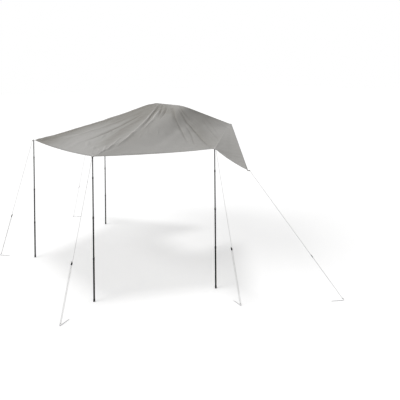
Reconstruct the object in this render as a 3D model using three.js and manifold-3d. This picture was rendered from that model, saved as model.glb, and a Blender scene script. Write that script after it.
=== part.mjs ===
// A free-standing side awning for a vehicle with a fold-out roof tent.
// Five sewn fabric panels hang from the tent's edge and stand on four telescopic poles.
// Five guylines with sliding tensioners and wire pegs hold the corners.
// Millimetres, +Z up. +X is the vehicle's forward direction and +Y points to the vehicle.

import * as THREE from "three";
import Module from "manifold-3d";
import { mergeVertices } from "three/addons/utils/BufferGeometryUtils.js";

const wasm = await Module();
wasm.setup();

// How far each corner is along the vehicle and out from it, from the middle of the two inner poles.
const STANCE = {
  rear_outer_along: 978,
  rear_outer_out: 1793,
  front_outer_along: 1200,
  front_outer_out: 1641,
  inner_along: 1915,
  wing_along: 2667,
};

// How far the top tube's shoulder stands out of the third tube, on each kind of pole.
const TOP_REACH = { outer: 289, rear_inner: 274, front_inner: 320 };

// How high the free tips of the two wings are.
const WING_HEIGHT = 1899;

// How far each peg is from its corner: along, away from the middle, and out from the vehicle or back to it.
const PEG_REACH = {
  rear_outer: { along: 461, out: 458, back: 0 },
  front_outer: { along: 346, out: 619, back: 0 },
  front_inner: { along: 631, out: 56, back: 0 },
  rear_wing: { along: 163, out: 352, back: 0 },
  front_wing: { along: 643, out: 0, back: 1195 },
};

// The fabric's upper edge, which follows the tent's overhang on three sides.
const UPPER_EDGE = {
  half_width: 540,
  front_y: 366,
  front_height: 2656,
  corner_radius: 190,
  side_y: 1420,
  side_height: 2263,
  end_length: 60,
  end_drop: 12,
};

// The fabric: thickness with its hems, the slit of a seam, and how far each line sags.
const FABRIC = {
  thickness: 3,
  seam_gap: 0.6,
  outer_hem_sag: 20,
  long_hem_sag: 30,
  wing_hem_sag: 20,
  hem_drop: 28,
  ridge_sag: 32,
  seam_sag: 12,
  fold_depth: 13,
};

// Counts of folds between neighbouring seams, and of steps in each panel's grid along and down the cloth.
const FOLD_COUNTS = { outer_count: 3, long_count: 5, wing_count: 2 };
const STEP_COUNTS = { outer_count: 12, long_count: 24, wing_count: 6, down_count: 8 };
// Shares of the upper edge where the seams start, from one end to the other.
const SEAM_START_SHARES = [0, 0.018, 0.405, 0.595, 0.982, 1];

// Hook-and-loop strip on the upper edge.
const STRIP = { height: 32, thickness: 2.4 };

// Round webbing tab with its eyelet at every corner.
const TAB = {
  radius: 20,
  thickness: 3,
  rim: 2,
  sides: 24,
  eyelet_radius: 9,
  eyelet_height: 4.4,
  eyelet_edge: 0.6,
  hole_radius: 4.8,
};

// Telescopic pole, from the ground up.
const POLE = {
  lower_diameter: 25,
  wall: 1.2,
  slide_clearance: 0.3,
  lower_length: 625,
  second_length: 583,
  third_length: 570,
  overlap: 62,
  top_tube_length: 600,
  plug_length: 18,
  edge: 0.5,
};
const SPIKE = { diameter: 8, length: 34, tip_length: 5, shoulder_drop: 3.2, top_clearance: 3 };
const COLLAR = {
  wall: 2,
  height: 34,
  grip_height: 26,
  ribs: 8,
  rib_depth: 0.7,
  chamfer: 1.6,
  clearance: 0.3,
};
const FOOT = { wall: 1.7, height: 38, sole: 7, round: 3, clearance: 0.3, lip: 0.6 };

// Guyline, tensioner and peg.
const LINE = {
  diameter: 4,
  loop_radius: 8,
  peg_clearance: 0.4,
  tail: 8,
  start_gap: 0.4,
  leg_steps: 5,
  loop_steps: 8,
};
const TENSIONER = { width: 25, depth: 10, length: 34, corner: 3, channel_clearance: 0.6, place_share: 0.33 };
const PEG = { diameter: 6, shank_length: 175, hook_radius: 12, tip_length: 17, loop_place: 5, bend_steps: 8 };

const SEAT_GAP = 0.35; // between a soft edge and what it is sewn to
const TOUCH_GAP = 0.3; // between two rigid pieces that seat on each other
const ROUND_SIDES = 16;
const CORD_SIDES = 8;

const MATERIALS = {
  fabric: { color: 0xa5a29c, roughness: 0.85, metalness: 0 },
  strip: { color: 0x4a4a48, roughness: 0.95, metalness: 0 },
  webbing: { color: 0xb9b7b2, roughness: 0.8, metalness: 0 },
  tube: { color: 0x1d1d1f, roughness: 0.4, metalness: 0.6 },
  tube_upper: { color: 0x3a3a3c, roughness: 0.42, metalness: 0.6 },
  plastic: { color: 0x0e0e0f, roughness: 0.55, metalness: 0 },
  rubber: { color: 0x0b0b0b, roughness: 0.9, metalness: 0 },
  cord: { color: 0xc9c9c6, roughness: 0.9, metalness: 0 },
  steel: { color: 0x77787a, roughness: 0.35, metalness: 1 },
};

const UP = new THREE.Vector3(0, 0, 1);

// A corner is as high as its pole's sections and the gap under its eyelet make it.
const SECTIONS_HEIGHT = POLE.lower_length + POLE.second_length + POLE.third_length;
const cornerHeight = (reach) => SECTIONS_HEIGHT + reach + SPIKE.top_clearance;

const CORNERS = {
  rear_outer: {
    x: -STANCE.rear_outer_along,
    y: -STANCE.rear_outer_out,
    height: cornerHeight(TOP_REACH.outer),
  },
  front_outer: {
    x: STANCE.front_outer_along,
    y: -STANCE.front_outer_out,
    height: cornerHeight(TOP_REACH.outer),
  },
  rear_inner: { x: -STANCE.inner_along, y: 0, height: cornerHeight(TOP_REACH.rear_inner) },
  front_inner: { x: STANCE.inner_along, y: 0, height: cornerHeight(TOP_REACH.front_inner) },
};

const WING_TIPS = {
  rear_wing: { x: -STANCE.wing_along, y: 0, height: WING_HEIGHT },
  front_wing: { x: STANCE.wing_along, y: 0, height: WING_HEIGHT },
};

const awning = new THREE.Group();
const guylines = new THREE.Group();

function addPiece(group, name, geometry, kind) {
  const mesh = new THREE.Mesh(geometry, new THREE.MeshStandardMaterial(MATERIALS[kind]));
  mesh.name = name;
  group.add(mesh);
  return mesh;
}

// Booleans

function toSolid(geometry) {
  const bare = geometry.index ? geometry.toNonIndexed() : geometry.clone();
  bare.deleteAttribute("normal");
  bare.deleteAttribute("uv");
  const merged = mergeVertices(bare);
  const vertProperties = new Float32Array(merged.attributes.position.array);
  const triVerts = new Uint32Array(merged.index.array);
  return new wasm.Manifold(new wasm.Mesh({ numProp: 3, vertProperties, triVerts }));
}

function toGeometry(solid) {
  const mesh = solid.getMesh();
  const geometry = new THREE.BufferGeometry();
  geometry.setAttribute("position", new THREE.BufferAttribute(mesh.vertProperties, mesh.numProp));
  geometry.setIndex(new THREE.BufferAttribute(mesh.triVerts, 1));
  geometry.computeVertexNormals();
  return geometry;
}

function joined(first, second) {
  return toGeometry(toSolid(first).add(toSolid(second)));
}

// Shapes that several pieces share

// A body turned about +Z from [radius, z] pairs.
function turned(profile) {
  const points = profile.map(([radius, z]) => new THREE.Vector2(radius, z));
  const geometry = new THREE.LatheGeometry(points, ROUND_SIDES);
  return geometry.rotateX(Math.PI / 2);
}

// A tube with its wall, lying along +Z from low to high, open at both ends.
function openTube(radius, bore, low, high, edge) {
  return turned([
    [bore, low],
    [radius - edge, low],
    [radius, low + edge],
    [radius, high - edge],
    [radius - edge, high],
    [bore, high],
    [bore, low],
  ]);
}

// A closed sheet on both sides of a surface; half gives the way from its middle to its upper face.
function sheetSolid(across, down, surface, half) {
  const points = [];
  const faces = [];
  for (const side of [1, -1]) {
    for (let i = 0; i <= across; i++) {
      for (let j = 0; j <= down; j++) {
        const place = surface(i / across, j / down);
        points.push(place.addScaledVector(half(i / across, j / down), side));
      }
    }
  }
  const layer = (across + 1) * (down + 1);
  const at = (i, j, k) => k * layer + i * (down + 1) + j;
  const quad = (a, b, c, d) => faces.push(a, c, b, a, d, c);
  for (let i = 0; i < across; i++) {
    for (let j = 0; j < down; j++) {
      quad(at(i, j, 0), at(i + 1, j, 0), at(i + 1, j + 1, 0), at(i, j + 1, 0));
      quad(at(i, j, 1), at(i, j + 1, 1), at(i + 1, j + 1, 1), at(i + 1, j, 1));
    }
  }
  for (let i = 0; i < across; i++) {
    quad(at(i, 0, 0), at(i, 0, 1), at(i + 1, 0, 1), at(i + 1, 0, 0));
    quad(at(i + 1, down, 0), at(i + 1, down, 1), at(i, down, 1), at(i, down, 0));
  }
  for (let j = 0; j < down; j++) {
    quad(at(0, j + 1, 0), at(0, j + 1, 1), at(0, j, 1), at(0, j, 0));
    quad(at(across, j, 0), at(across, j, 1), at(across, j + 1, 1), at(across, j + 1, 0));
  }
  const geometry = new THREE.BufferGeometry().setFromPoints(points);
  geometry.setIndex(faces);
  return geometry;
}

// A path of straight runs, with one ring of the tube at every point.
class Route extends THREE.Curve {
  constructor(points) {
    super();
    this.points = points;
  }

  getPoint(share, target = new THREE.Vector3()) {
    const place = share * (this.points.length - 1);
    const index = Math.min(Math.floor(place), this.points.length - 2);
    return target.lerpVectors(this.points[index], this.points[index + 1], place - index);
  }

  getPointAt(share, target) {
    return this.getPoint(share, target);
  }

  getTangentAt(share, target = new THREE.Vector3()) {
    const last = this.points.length - 1;
    const index = Math.round(share * last);
    const before = this.points[Math.max(index - 1, 0)];
    const after = this.points[Math.min(index + 1, last)];
    return target.subVectors(after, before).normalize();
  }
}

function roundBar(points, diameter, sides) {
  const section = new THREE.Shape().absarc(0, 0, diameter / 2, 0, 2 * Math.PI);
  return new THREE.ExtrudeGeometry(section, {
    steps: points.length - 1,
    curveSegments: sides / 2,
    extrudePath: new Route(points),
  });
}

// Canopy

// The upper edge as one smooth line from the rear wing's end to the front wing's end.
function upperEdge() {
  const { half_width, front_y, front_height, corner_radius, side_y, side_height } = UPPER_EDGE;
  const { end_length, end_drop } = UPPER_EDGE;
  const slope = (front_height - side_height) / (side_y - front_y);
  const path = new THREE.CurvePath();
  const side = (sign) => ({
    end: new THREE.Vector3(sign * half_width, side_y + end_length, side_height - end_drop),
    foot: new THREE.Vector3(sign * half_width, side_y, side_height),
    turn: new THREE.Vector3(sign * half_width, front_y + corner_radius, front_height - slope * corner_radius),
    corner: new THREE.Vector3(sign * half_width, front_y, front_height),
    front: new THREE.Vector3(sign * (half_width - corner_radius), front_y, front_height),
  });
  const rear = side(-1);
  const fore = side(1);
  path.add(new THREE.LineCurve3(rear.end, rear.foot));
  path.add(new THREE.LineCurve3(rear.foot, rear.turn));
  path.add(new THREE.QuadraticBezierCurve3(rear.turn, rear.corner, rear.front));
  path.add(new THREE.LineCurve3(rear.front, fore.front));
  path.add(new THREE.QuadraticBezierCurve3(fore.front, fore.corner, fore.turn));
  path.add(new THREE.LineCurve3(fore.turn, fore.foot));
  path.add(new THREE.LineCurve3(fore.foot, fore.end));
  return path;
}

const EDGE = upperEdge();

function corner(place) {
  return new THREE.Vector3(place.x, place.y, place.height);
}

// The makings of each kind of panel.
const PANEL_KINDS = {
  wing: { hem: FABRIC.wing_hem_sag, steps: STEP_COUNTS.wing_count, folds: FOLD_COUNTS.wing_count },
  long: { hem: FABRIC.long_hem_sag, steps: STEP_COUNTS.long_count, folds: FOLD_COUNTS.long_count },
  outer: { hem: FABRIC.outer_hem_sag, steps: STEP_COUNTS.outer_count, folds: FOLD_COUNTS.outer_count },
};

// From the rear wing round to the front wing, each with the sag of its two seams.
const PANELS = [
  { name: "rear_wing_panel", ...PANEL_KINDS.wing, sags: [0, FABRIC.seam_sag] },
  { name: "rear_panel", ...PANEL_KINDS.long, sags: [FABRIC.seam_sag, FABRIC.ridge_sag] },
  { name: "outer_panel", ...PANEL_KINDS.outer, sags: [FABRIC.ridge_sag, FABRIC.ridge_sag] },
  { name: "front_panel", ...PANEL_KINDS.long, sags: [FABRIC.ridge_sag, FABRIC.seam_sag] },
  { name: "front_wing_panel", ...PANEL_KINDS.wing, sags: [FABRIC.seam_sag, 0] },
];

const TAB_ORDER = ["rear_wing", "rear_inner", "rear_outer", "front_outer", "front_inner", "front_wing"];
const TAB_PLACES = TAB_ORDER.map((name) => corner(CORNERS[name] ?? WING_TIPS[name]));

const bow = (share) => 4 * share * (1 - share);
const planWay = (from, to) => new THREE.Vector3().subVectors(to, from).setZ(0).normalize();

// The way that a hem leaves a corner: along the first chord of its bowed edge.
function hemWay(place, neighbour, inward, { hem, steps }) {
  const share = 1 / steps;
  const next = place.clone().lerp(neighbour, share).addScaledVector(inward, hem * bow(share));
  return planWay(place, next);
}

// How far each tab is from the fabric's own corner, so that both hems beside it clear the tab.
const TAB_JOINTS = TAB_PLACES.map((place, index) => {
  const inward = planWay(place, EDGE.getPoint(SEAM_START_SHARES[index]));
  let clearance = 1;
  for (const side of [-1, 1]) {
    const neighbour = TAB_PLACES[index + side];
    const panel = PANELS[side < 0 ? index - 1 : index];
    const turn = neighbour ? inward.angleTo(hemWay(place, neighbour, inward, panel)) : 0;
    if (turn > Math.PI / 2) clearance = Math.min(clearance, Math.sin(turn));
  }
  return { inward, reach: (TAB.radius + SEAT_GAP) / clearance };
});

const HEM_CORNERS = TAB_PLACES.map((place, index) => {
  const { inward, reach } = TAB_JOINTS[index];
  return place.clone().addScaledVector(inward, reach);
});

// One panel between two seams. Its hem is drawn in between the corners, as tensioned cloth is.
function panelSurface(index) {
  const { hem: hemSag, folds, sags } = PANELS[index];
  const [from, to] = [SEAM_START_SHARES[index], SEAM_START_SHARES[index + 1]];
  const [hemFrom, hemTo] = [HEM_CORNERS[index], HEM_CORNERS[index + 1]];
  return (along, down) => {
    const top = EDGE.getPoint(THREE.MathUtils.lerp(from, to, along));
    const hem = new THREE.Vector3().lerpVectors(hemFrom, hemTo, along);
    const inward = new THREE.Vector3().subVectors(top, hem).normalize();
    hem.addScaledVector(inward, hemSag * bow(along));
    const place = new THREE.Vector3().lerpVectors(top, hem, down);
    const seamSag = THREE.MathUtils.lerp(sags[0], sags[1], along);
    const wave = Math.sin(Math.PI * along) ** 2 * Math.cos(2 * Math.PI * folds * along);
    place.z -= seamSag * bow(down) + FABRIC.fold_depth * wave * bow(down);
    place.z -= FABRIC.hem_drop * bow(along) * down ** 2;
    const start = EDGE.getPoint(from).lerp(hemFrom, down);
    const end = EDGE.getPoint(to).lerp(hemTo, down);
    const across = end.sub(start).setZ(0).normalize();
    return place.addScaledVector(across, FABRIC.seam_gap * (1 / 2 - along));
  };
}

function addCanopy() {
  const half = new THREE.Vector3(0, 0, FABRIC.thickness / 2);
  PANELS.forEach(({ name, steps }, index) => {
    const solid = sheetSolid(steps, STEP_COUNTS.down_count, panelSurface(index), () => half);
    addPiece(awning, name, solid, "fabric");
  });
}

// The shares of the upper edge at which the panels have their points, in order.
function edgeShares() {
  const shares = [SEAM_START_SHARES[0]];
  PANELS.forEach(({ steps }, index) => {
    const [from, to] = [SEAM_START_SHARES[index], SEAM_START_SHARES[index + 1]];
    for (let i = 1; i <= steps; i++) {
      shares.push(THREE.MathUtils.lerp(from, to, i / steps));
    }
  });
  return shares;
}

// The strip stands on edge just inside the fabric's upper edge.
function addStrip() {
  const shares = edgeShares();
  const steps = shares.length - 1;
  const inset = STRIP.thickness / 2 + SEAT_GAP;
  const shareAt = (along) => shares[Math.round(along * steps)];
  const sideways = (along) => {
    const tangent = EDGE.getTangent(shareAt(along)).setZ(0).normalize();
    return new THREE.Vector3().crossVectors(UP, tangent);
  };
  const surface = (along, down) => {
    const place = EDGE.getPoint(shareAt(along)).addScaledVector(sideways(along), inset);
    place.z += FABRIC.thickness / 2 - STRIP.height * down;
    return place;
  };
  const half = (along) => sideways(along).multiplyScalar(-STRIP.thickness / 2);
  addPiece(awning, "tent_edge_strip", sheetSolid(steps, 1, surface, half), "strip");
}

// Webbing tab: a disc drawn out to a point where it meets the fabric, with a raised eyelet.
function tabGeometry(reach) {
  const turn = reach > TAB.radius ? Math.acos(TAB.radius / reach) : 0;
  const outline = new THREE.Shape();
  outline.absarc(0, 0, TAB.radius, turn, 2 * Math.PI - turn);
  if (turn > 0) outline.lineTo(reach, 0);
  outline.holes.push(new THREE.Path().absarc(0, 0, TAB.eyelet_radius - TAB.rim, 0, 2 * Math.PI));
  const plate = new THREE.ExtrudeGeometry(outline, {
    depth: TAB.thickness,
    bevelEnabled: false,
    curveSegments: TAB.sides / 2,
  });
  plate.translate(0, 0, -TAB.thickness / 2);
  const e = TAB.eyelet_height / 2;
  return joined(plate, openTube(TAB.eyelet_radius, TAB.hole_radius, -e, e, TAB.eyelet_edge));
}

function addTab(name) {
  const index = TAB_ORDER.indexOf(name);
  const { inward, reach } = TAB_JOINTS[index];
  const tab = addPiece(awning, `${name}_tab`, tabGeometry(reach - SEAT_GAP), "webbing");
  tab.position.copy(TAB_PLACES[index]);
  tab.rotation.z = Math.atan2(inward.y, inward.x);
}

// Poles

const TUBE_STEP = POLE.wall + POLE.slide_clearance;
const tubeRadius = (index) => POLE.lower_diameter / 2 - index * TUBE_STEP;

function tubeGeometry(radius, length) {
  const bore = radius - POLE.wall;
  const { plug_length, edge } = POLE;
  return turned([
    [0, 0],
    [radius - edge, 0],
    [radius, edge],
    [radius, length - edge],
    [radius - edge, length],
    [bore, length],
    [bore, plug_length],
    [0, plug_length],
  ]);
}

// The topmost tube ends in a sloped shoulder and the spike that goes through the eyelet.
function topTubeGeometry(radius, length) {
  const bore = radius - POLE.wall;
  const spike = SPIKE.diameter / 2;
  const shoulder = length - SPIKE.shoulder_drop;
  const tip = length + SPIKE.length;
  return turned([
    [bore, 0],
    [radius - POLE.edge, 0],
    [radius, POLE.edge],
    [radius, shoulder],
    [spike, length],
    [spike, tip - SPIKE.tip_length],
    [0, tip],
    [0, shoulder - POLE.plug_length],
    [bore, shoulder - POLE.plug_length],
    [bore, 0],
  ]);
}

function ribbedOutline(radius, ribs, depth) {
  const points = [];
  const shares = [0, 0.2, 0.5, 0.7];
  for (let rib = 0; rib < ribs; rib++) {
    shares.forEach((share, index) => {
      const angle = ((rib + share) * 2 * Math.PI) / ribs;
      const reach = index < 2 ? radius : radius - depth;
      points.push(new THREE.Vector2(reach * Math.cos(angle), reach * Math.sin(angle)));
    });
  }
  return new THREE.Shape(points);
}

// Twist-lock collar: a ribbed grip over the outer tube's end and a chamfered nose on the inner tube.
function collarGeometry(outerRadius, innerRadius) {
  const radius = outerRadius + COLLAR.wall;
  const grip = ribbedOutline(radius, COLLAR.ribs, COLLAR.rib_depth);
  grip.holes.push(new THREE.Path().absarc(0, 0, outerRadius + COLLAR.clearance, 0, 2 * Math.PI));
  const body = new THREE.ExtrudeGeometry(grip, {
    depth: COLLAR.grip_height,
    bevelEnabled: false,
    curveSegments: ROUND_SIDES / 2,
  });
  const bore = innerRadius + COLLAR.clearance;
  const shelf = COLLAR.grip_height - COLLAR.chamfer;
  const nose = turned([
    [bore, shelf],
    [outerRadius + COLLAR.wall / 2, shelf],
    [outerRadius + COLLAR.wall / 2, COLLAR.height - COLLAR.chamfer],
    [outerRadius + COLLAR.wall / 2 - COLLAR.chamfer, COLLAR.height],
    [bore, COLLAR.height],
    [bore, shelf],
  ]);
  return joined(body, nose);
}

// Rubber ferrule that the lowest tube stands in.
function footGeometry(tube) {
  const radius = tube + FOOT.clearance + FOOT.wall;
  const bore = tube + FOOT.clearance;
  return turned([
    [0, 0],
    [radius - FOOT.round, 0],
    [radius, FOOT.round],
    [radius, FOOT.height - FOOT.lip],
    [radius - FOOT.lip, FOOT.height],
    [bore, FOOT.height],
    [bore, FOOT.sole],
    [0, FOOT.sole],
  ]);
}

// A collar whose bore takes the tube's end, with the tube's end under the nose's shelf.
function collarPlace(tubeEnd) {
  return tubeEnd + TOUCH_GAP - (COLLAR.grip_height - COLLAR.chamfer);
}

function addPole(name, place) {
  const pole = new THREE.Group();
  pole.position.set(place.x, place.y, 0);
  awning.add(pole);
  addPiece(pole, `${name}_foot`, footGeometry(tubeRadius(0)), "rubber");

  const sections = ["lower", "second", "third"];
  const visible = [POLE.lower_length, POLE.second_length, POLE.third_length];
  const start = FOOT.sole + TOUCH_GAP;
  let end = 0;
  sections.forEach((section, index) => {
    const low = index === 0 ? start : end - POLE.overlap;
    end += visible[index];
    const radius = tubeRadius(index);
    const look = index === 0 ? "tube" : "tube_upper";
    addPiece(pole, `${name}_${section}_tube`, tubeGeometry(radius, end - low), look).position.z = low;
    const collar = collarGeometry(radius, tubeRadius(index + 1));
    addPiece(pole, `${name}_${section}_collar`, collar, "plastic").position.z = collarPlace(end);
  });

  const top = place.height - SPIKE.top_clearance;
  const tube = topTubeGeometry(tubeRadius(sections.length), POLE.top_tube_length);
  addPiece(pole, `${name}_top_tube`, tube, "tube_upper").position.z = top - POLE.top_tube_length;
}

// Guylines

// The frame of one line: where its loop goes round the peg, and the ways along and across it.
function lineFrame(name, place) {
  const { along: away, out, back } = PEG_REACH[name];
  const loop = new THREE.Vector3(place.x + Math.sign(place.x) * away, place.y - out + back, 0);
  const inward = new THREE.Vector3(place.x, place.y, 0).sub(loop).normalize();
  loop.z = PEG.diameter / 2 + 2 * PEG.hook_radius;
  const lateral = new THREE.Vector3().crossVectors(UP, inward);
  const spread = LINE.loop_radius;
  const top = corner(place);
  const steepness = (top.z - loop.z) / top.distanceTo(loop);
  const reach = TAB.radius + LINE.start_gap + (LINE.diameter / 2) * steepness;
  const rim = top.addScaledVector(inward, -Math.sqrt(reach ** 2 - spread ** 2));
  const along = new THREE.Vector3().subVectors(rim, loop);
  const length = along.length();
  along.normalize();
  return { loop, inward, lateral, spread, along, length };
}

function tensionerPlace(frame) {
  return frame.length * TENSIONER.place_share;
}

// Down from the tab, round the peg and back up to the tensioner. The loop hangs on the peg's wire.
function guylineRoute(frame) {
  const { loop, lateral, spread, along, length } = frame;
  const at = (side, distance) =>
    loop.clone().addScaledVector(lateral, side * spread).addScaledVector(along, distance);
  const hang = (PEG.diameter + LINE.diameter) / 2 + LINE.peg_clearance;
  const middle = spread - hang / along.z;
  const points = [];
  for (let i = 0; i < LINE.leg_steps; i++) {
    points.push(at(-1, THREE.MathUtils.lerp(length, middle, i / LINE.leg_steps)));
  }
  for (let i = 0; i <= LINE.loop_steps; i++) {
    const angle = (Math.PI * i) / LINE.loop_steps;
    points.push(at(-Math.cos(angle), middle - spread * Math.sin(angle)));
  }
  const tail = tensionerPlace(frame) + TENSIONER.length + LINE.tail;
  for (let i = 1; i <= LINE.leg_steps; i++) {
    points.push(at(1, THREE.MathUtils.lerp(middle, tail, i / LINE.leg_steps)));
  }
  return points;
}

function tensionerGeometry(spread) {
  const { width, depth, corner: round, length } = TENSIONER;
  const [x, y] = [width / 2, depth / 2];
  const outline = new THREE.Shape();
  outline.moveTo(round - x, -y).lineTo(x - round, -y).lineTo(x, round - y).lineTo(x, y - round);
  outline.lineTo(x - round, y).lineTo(round - x, y).lineTo(-x, y - round).lineTo(-x, round - y);
  const channel = LINE.diameter / 2 + TENSIONER.channel_clearance;
  for (const side of [-1, 1]) {
    outline.holes.push(new THREE.Path().absarc(side * spread, 0, channel, 0, 2 * Math.PI));
  }
  return new THREE.ExtrudeGeometry(outline, {
    depth: length,
    bevelEnabled: false,
    curveSegments: CORD_SIDES / 2,
  });
}

// Wire peg lying on the ground under its line, with its hook turned up.
function pegPoints(frame) {
  const radius = PEG.diameter / 2;
  const at = (x, z) => frame.loop.clone().setZ(radius + z).addScaledVector(frame.inward, x);
  const bend = -PEG.loop_place;
  const points = [at(PEG.shank_length + bend, 0)];
  for (let i = 0; i <= PEG.bend_steps; i++) {
    const angle = (Math.PI * i) / PEG.bend_steps;
    const x = bend - PEG.hook_radius * Math.sin(angle);
    points.push(at(x, PEG.hook_radius * (1 - Math.cos(angle))));
  }
  points.push(at(bend + PEG.tip_length, 2 * PEG.hook_radius));
  return points;
}

function addGuyline(name, place) {
  const frame = lineFrame(name, place);
  const route = guylineRoute(frame);
  addPiece(guylines, `${name}_guyline`, roundBar(route, LINE.diameter, CORD_SIDES), "cord");
  addPiece(guylines, `${name}_peg`, roundBar(pegPoints(frame), PEG.diameter, CORD_SIDES), "steel");

  const tensioner = addPiece(guylines, `${name}_tensioner`, tensionerGeometry(frame.spread), "plastic");
  const depthways = new THREE.Vector3().crossVectors(frame.along, frame.lateral);
  const basis = new THREE.Matrix4().makeBasis(frame.lateral, depthways, frame.along);
  tensioner.quaternion.setFromRotationMatrix(basis);
  tensioner.position.copy(frame.loop).addScaledVector(frame.along, tensionerPlace(frame));
}

addCanopy();
addStrip();
for (const [name, place] of Object.entries(CORNERS)) {
  addPole(name, place);
}
for (const name of TAB_ORDER) {
  addTab(name);
}
for (const name of Object.keys(PEG_REACH)) {
  addGuyline(name, CORNERS[name] ?? WING_TIPS[name]);
}

// The origin lies on the ground under the middle of the canopy and its poles.
const bounds = new THREE.Box3().setFromObject(awning, true);
const middle = bounds.getCenter(new THREE.Vector3());
const root = new THREE.Group();
root.add(awning, guylines);
for (const group of [awning, guylines]) {
  group.position.set(-middle.x, -middle.y, -bounds.min.z);
}

export default root;
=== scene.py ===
"""The looks of a free-standing side awning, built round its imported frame.

Lengths are metres in the row frame: +X runs along the canopy's long side, +Y points to its upper
edge's open side and +Z is up. The camera and the guylines are made first, then the canopy with
its strip and tabs, then the four telescopic poles, and last the floor and the lights.
"""

import logging
import math
from dataclasses import dataclass
from enum import Enum
from typing import Any, Callable, Sequence

import bmesh
import bpy
import numpy as np
from mathutils import Matrix, Quaternion, Vector


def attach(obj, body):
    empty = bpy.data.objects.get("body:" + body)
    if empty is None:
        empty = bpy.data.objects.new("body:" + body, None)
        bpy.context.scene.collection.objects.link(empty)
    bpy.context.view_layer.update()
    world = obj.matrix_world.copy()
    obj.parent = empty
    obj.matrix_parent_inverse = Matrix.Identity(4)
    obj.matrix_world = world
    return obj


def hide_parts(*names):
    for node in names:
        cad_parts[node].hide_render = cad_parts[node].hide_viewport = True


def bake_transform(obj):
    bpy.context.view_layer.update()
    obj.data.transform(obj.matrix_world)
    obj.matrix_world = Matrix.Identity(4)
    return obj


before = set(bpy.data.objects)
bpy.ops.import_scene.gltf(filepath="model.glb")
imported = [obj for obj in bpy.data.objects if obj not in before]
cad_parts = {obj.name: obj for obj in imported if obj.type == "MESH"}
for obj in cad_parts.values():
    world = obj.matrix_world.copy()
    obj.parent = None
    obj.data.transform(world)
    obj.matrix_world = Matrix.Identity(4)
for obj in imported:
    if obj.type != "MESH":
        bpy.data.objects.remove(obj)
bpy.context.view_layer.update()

log = logging.getLogger("awning")

Colour = tuple[float, float, float]
Point = tuple[float, float, float]
Profile = Sequence[tuple[float, float]]

UP = Vector((0.0, 0.0, 1.0))
TO_ROW = 0.1665  # from the middle of the inner poles to the row frame's origin, along Y
SMOOTH_ANGLE = math.radians(38)
NEAR = 1e-5  # how far apart two places may be and still count as one


class Slot(Enum):
    """The record's material slots."""

    FABRIC = "fabric"
    STRIP = "strip"
    WEBBING = "webbing"
    TUBE = "tube"
    PLASTIC = "lock_plastic"
    RUBBER = "rubber"
    CORD = "guyline"
    STEEL = "steel_wire"


# Materials


class Wire:
    """A value that flows through a material, with Python's operators for its sums."""

    def __init__(self, board: "Board", socket: bpy.types.NodeSocket) -> None:
        """Wraps one output socket.

        Args:
            board: The board that the socket's node is on.
            socket: The output socket.
        """
        self.board = board
        self.socket = socket

    def math(self, operation: str, *others: Any) -> "Wire":
        """Adds one Math node.

        Args:
            operation: The node's operation.
            others: The values after this one.

        Returns:
            The node's result.
        """
        return self.board.add("Math", {"operation": operation}, dict(enumerate((self, *others))))

    def __add__(self, other: Any) -> "Wire":
        """The sum."""
        return self.math("ADD", other)

    __radd__ = __add__

    def __mul__(self, other: Any) -> "Wire":
        """The product."""
        return self.math("MULTIPLY", other)

    __rmul__ = __mul__

    def __sub__(self, other: Any) -> "Wire":
        """The difference."""
        return self.math("SUBTRACT", other)

    def __rsub__(self, other: Any) -> "Wire":
        """The difference from a number."""
        return (self * -1.0) + other

    def __truediv__(self, other: Any) -> "Wire":
        """The quotient."""
        return self.math("DIVIDE", other)

    def wave(self, period: float) -> "Wire":
        """A sine wave of that period over this value, from -1 to 1."""
        return (self * (2 * math.pi / period)).math("SINE")

    def step(self, low: float, high: float) -> "Wire":
        """A smooth step from 0 at low to 1 at high, or down where low is the larger.

        Args:
            low: Where the result is 0.
            high: Where the result is 1.

        Returns:
            The smooth step.
        """
        settings = {"interpolation_type": "SMOOTHSTEP"}
        if low < high:
            return self.board.add("MapRange", settings, {0: self, 1: low, 2: high})
        return 1.0 - self.board.add("MapRange", settings, {0: self, 1: high, 2: low})


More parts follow.
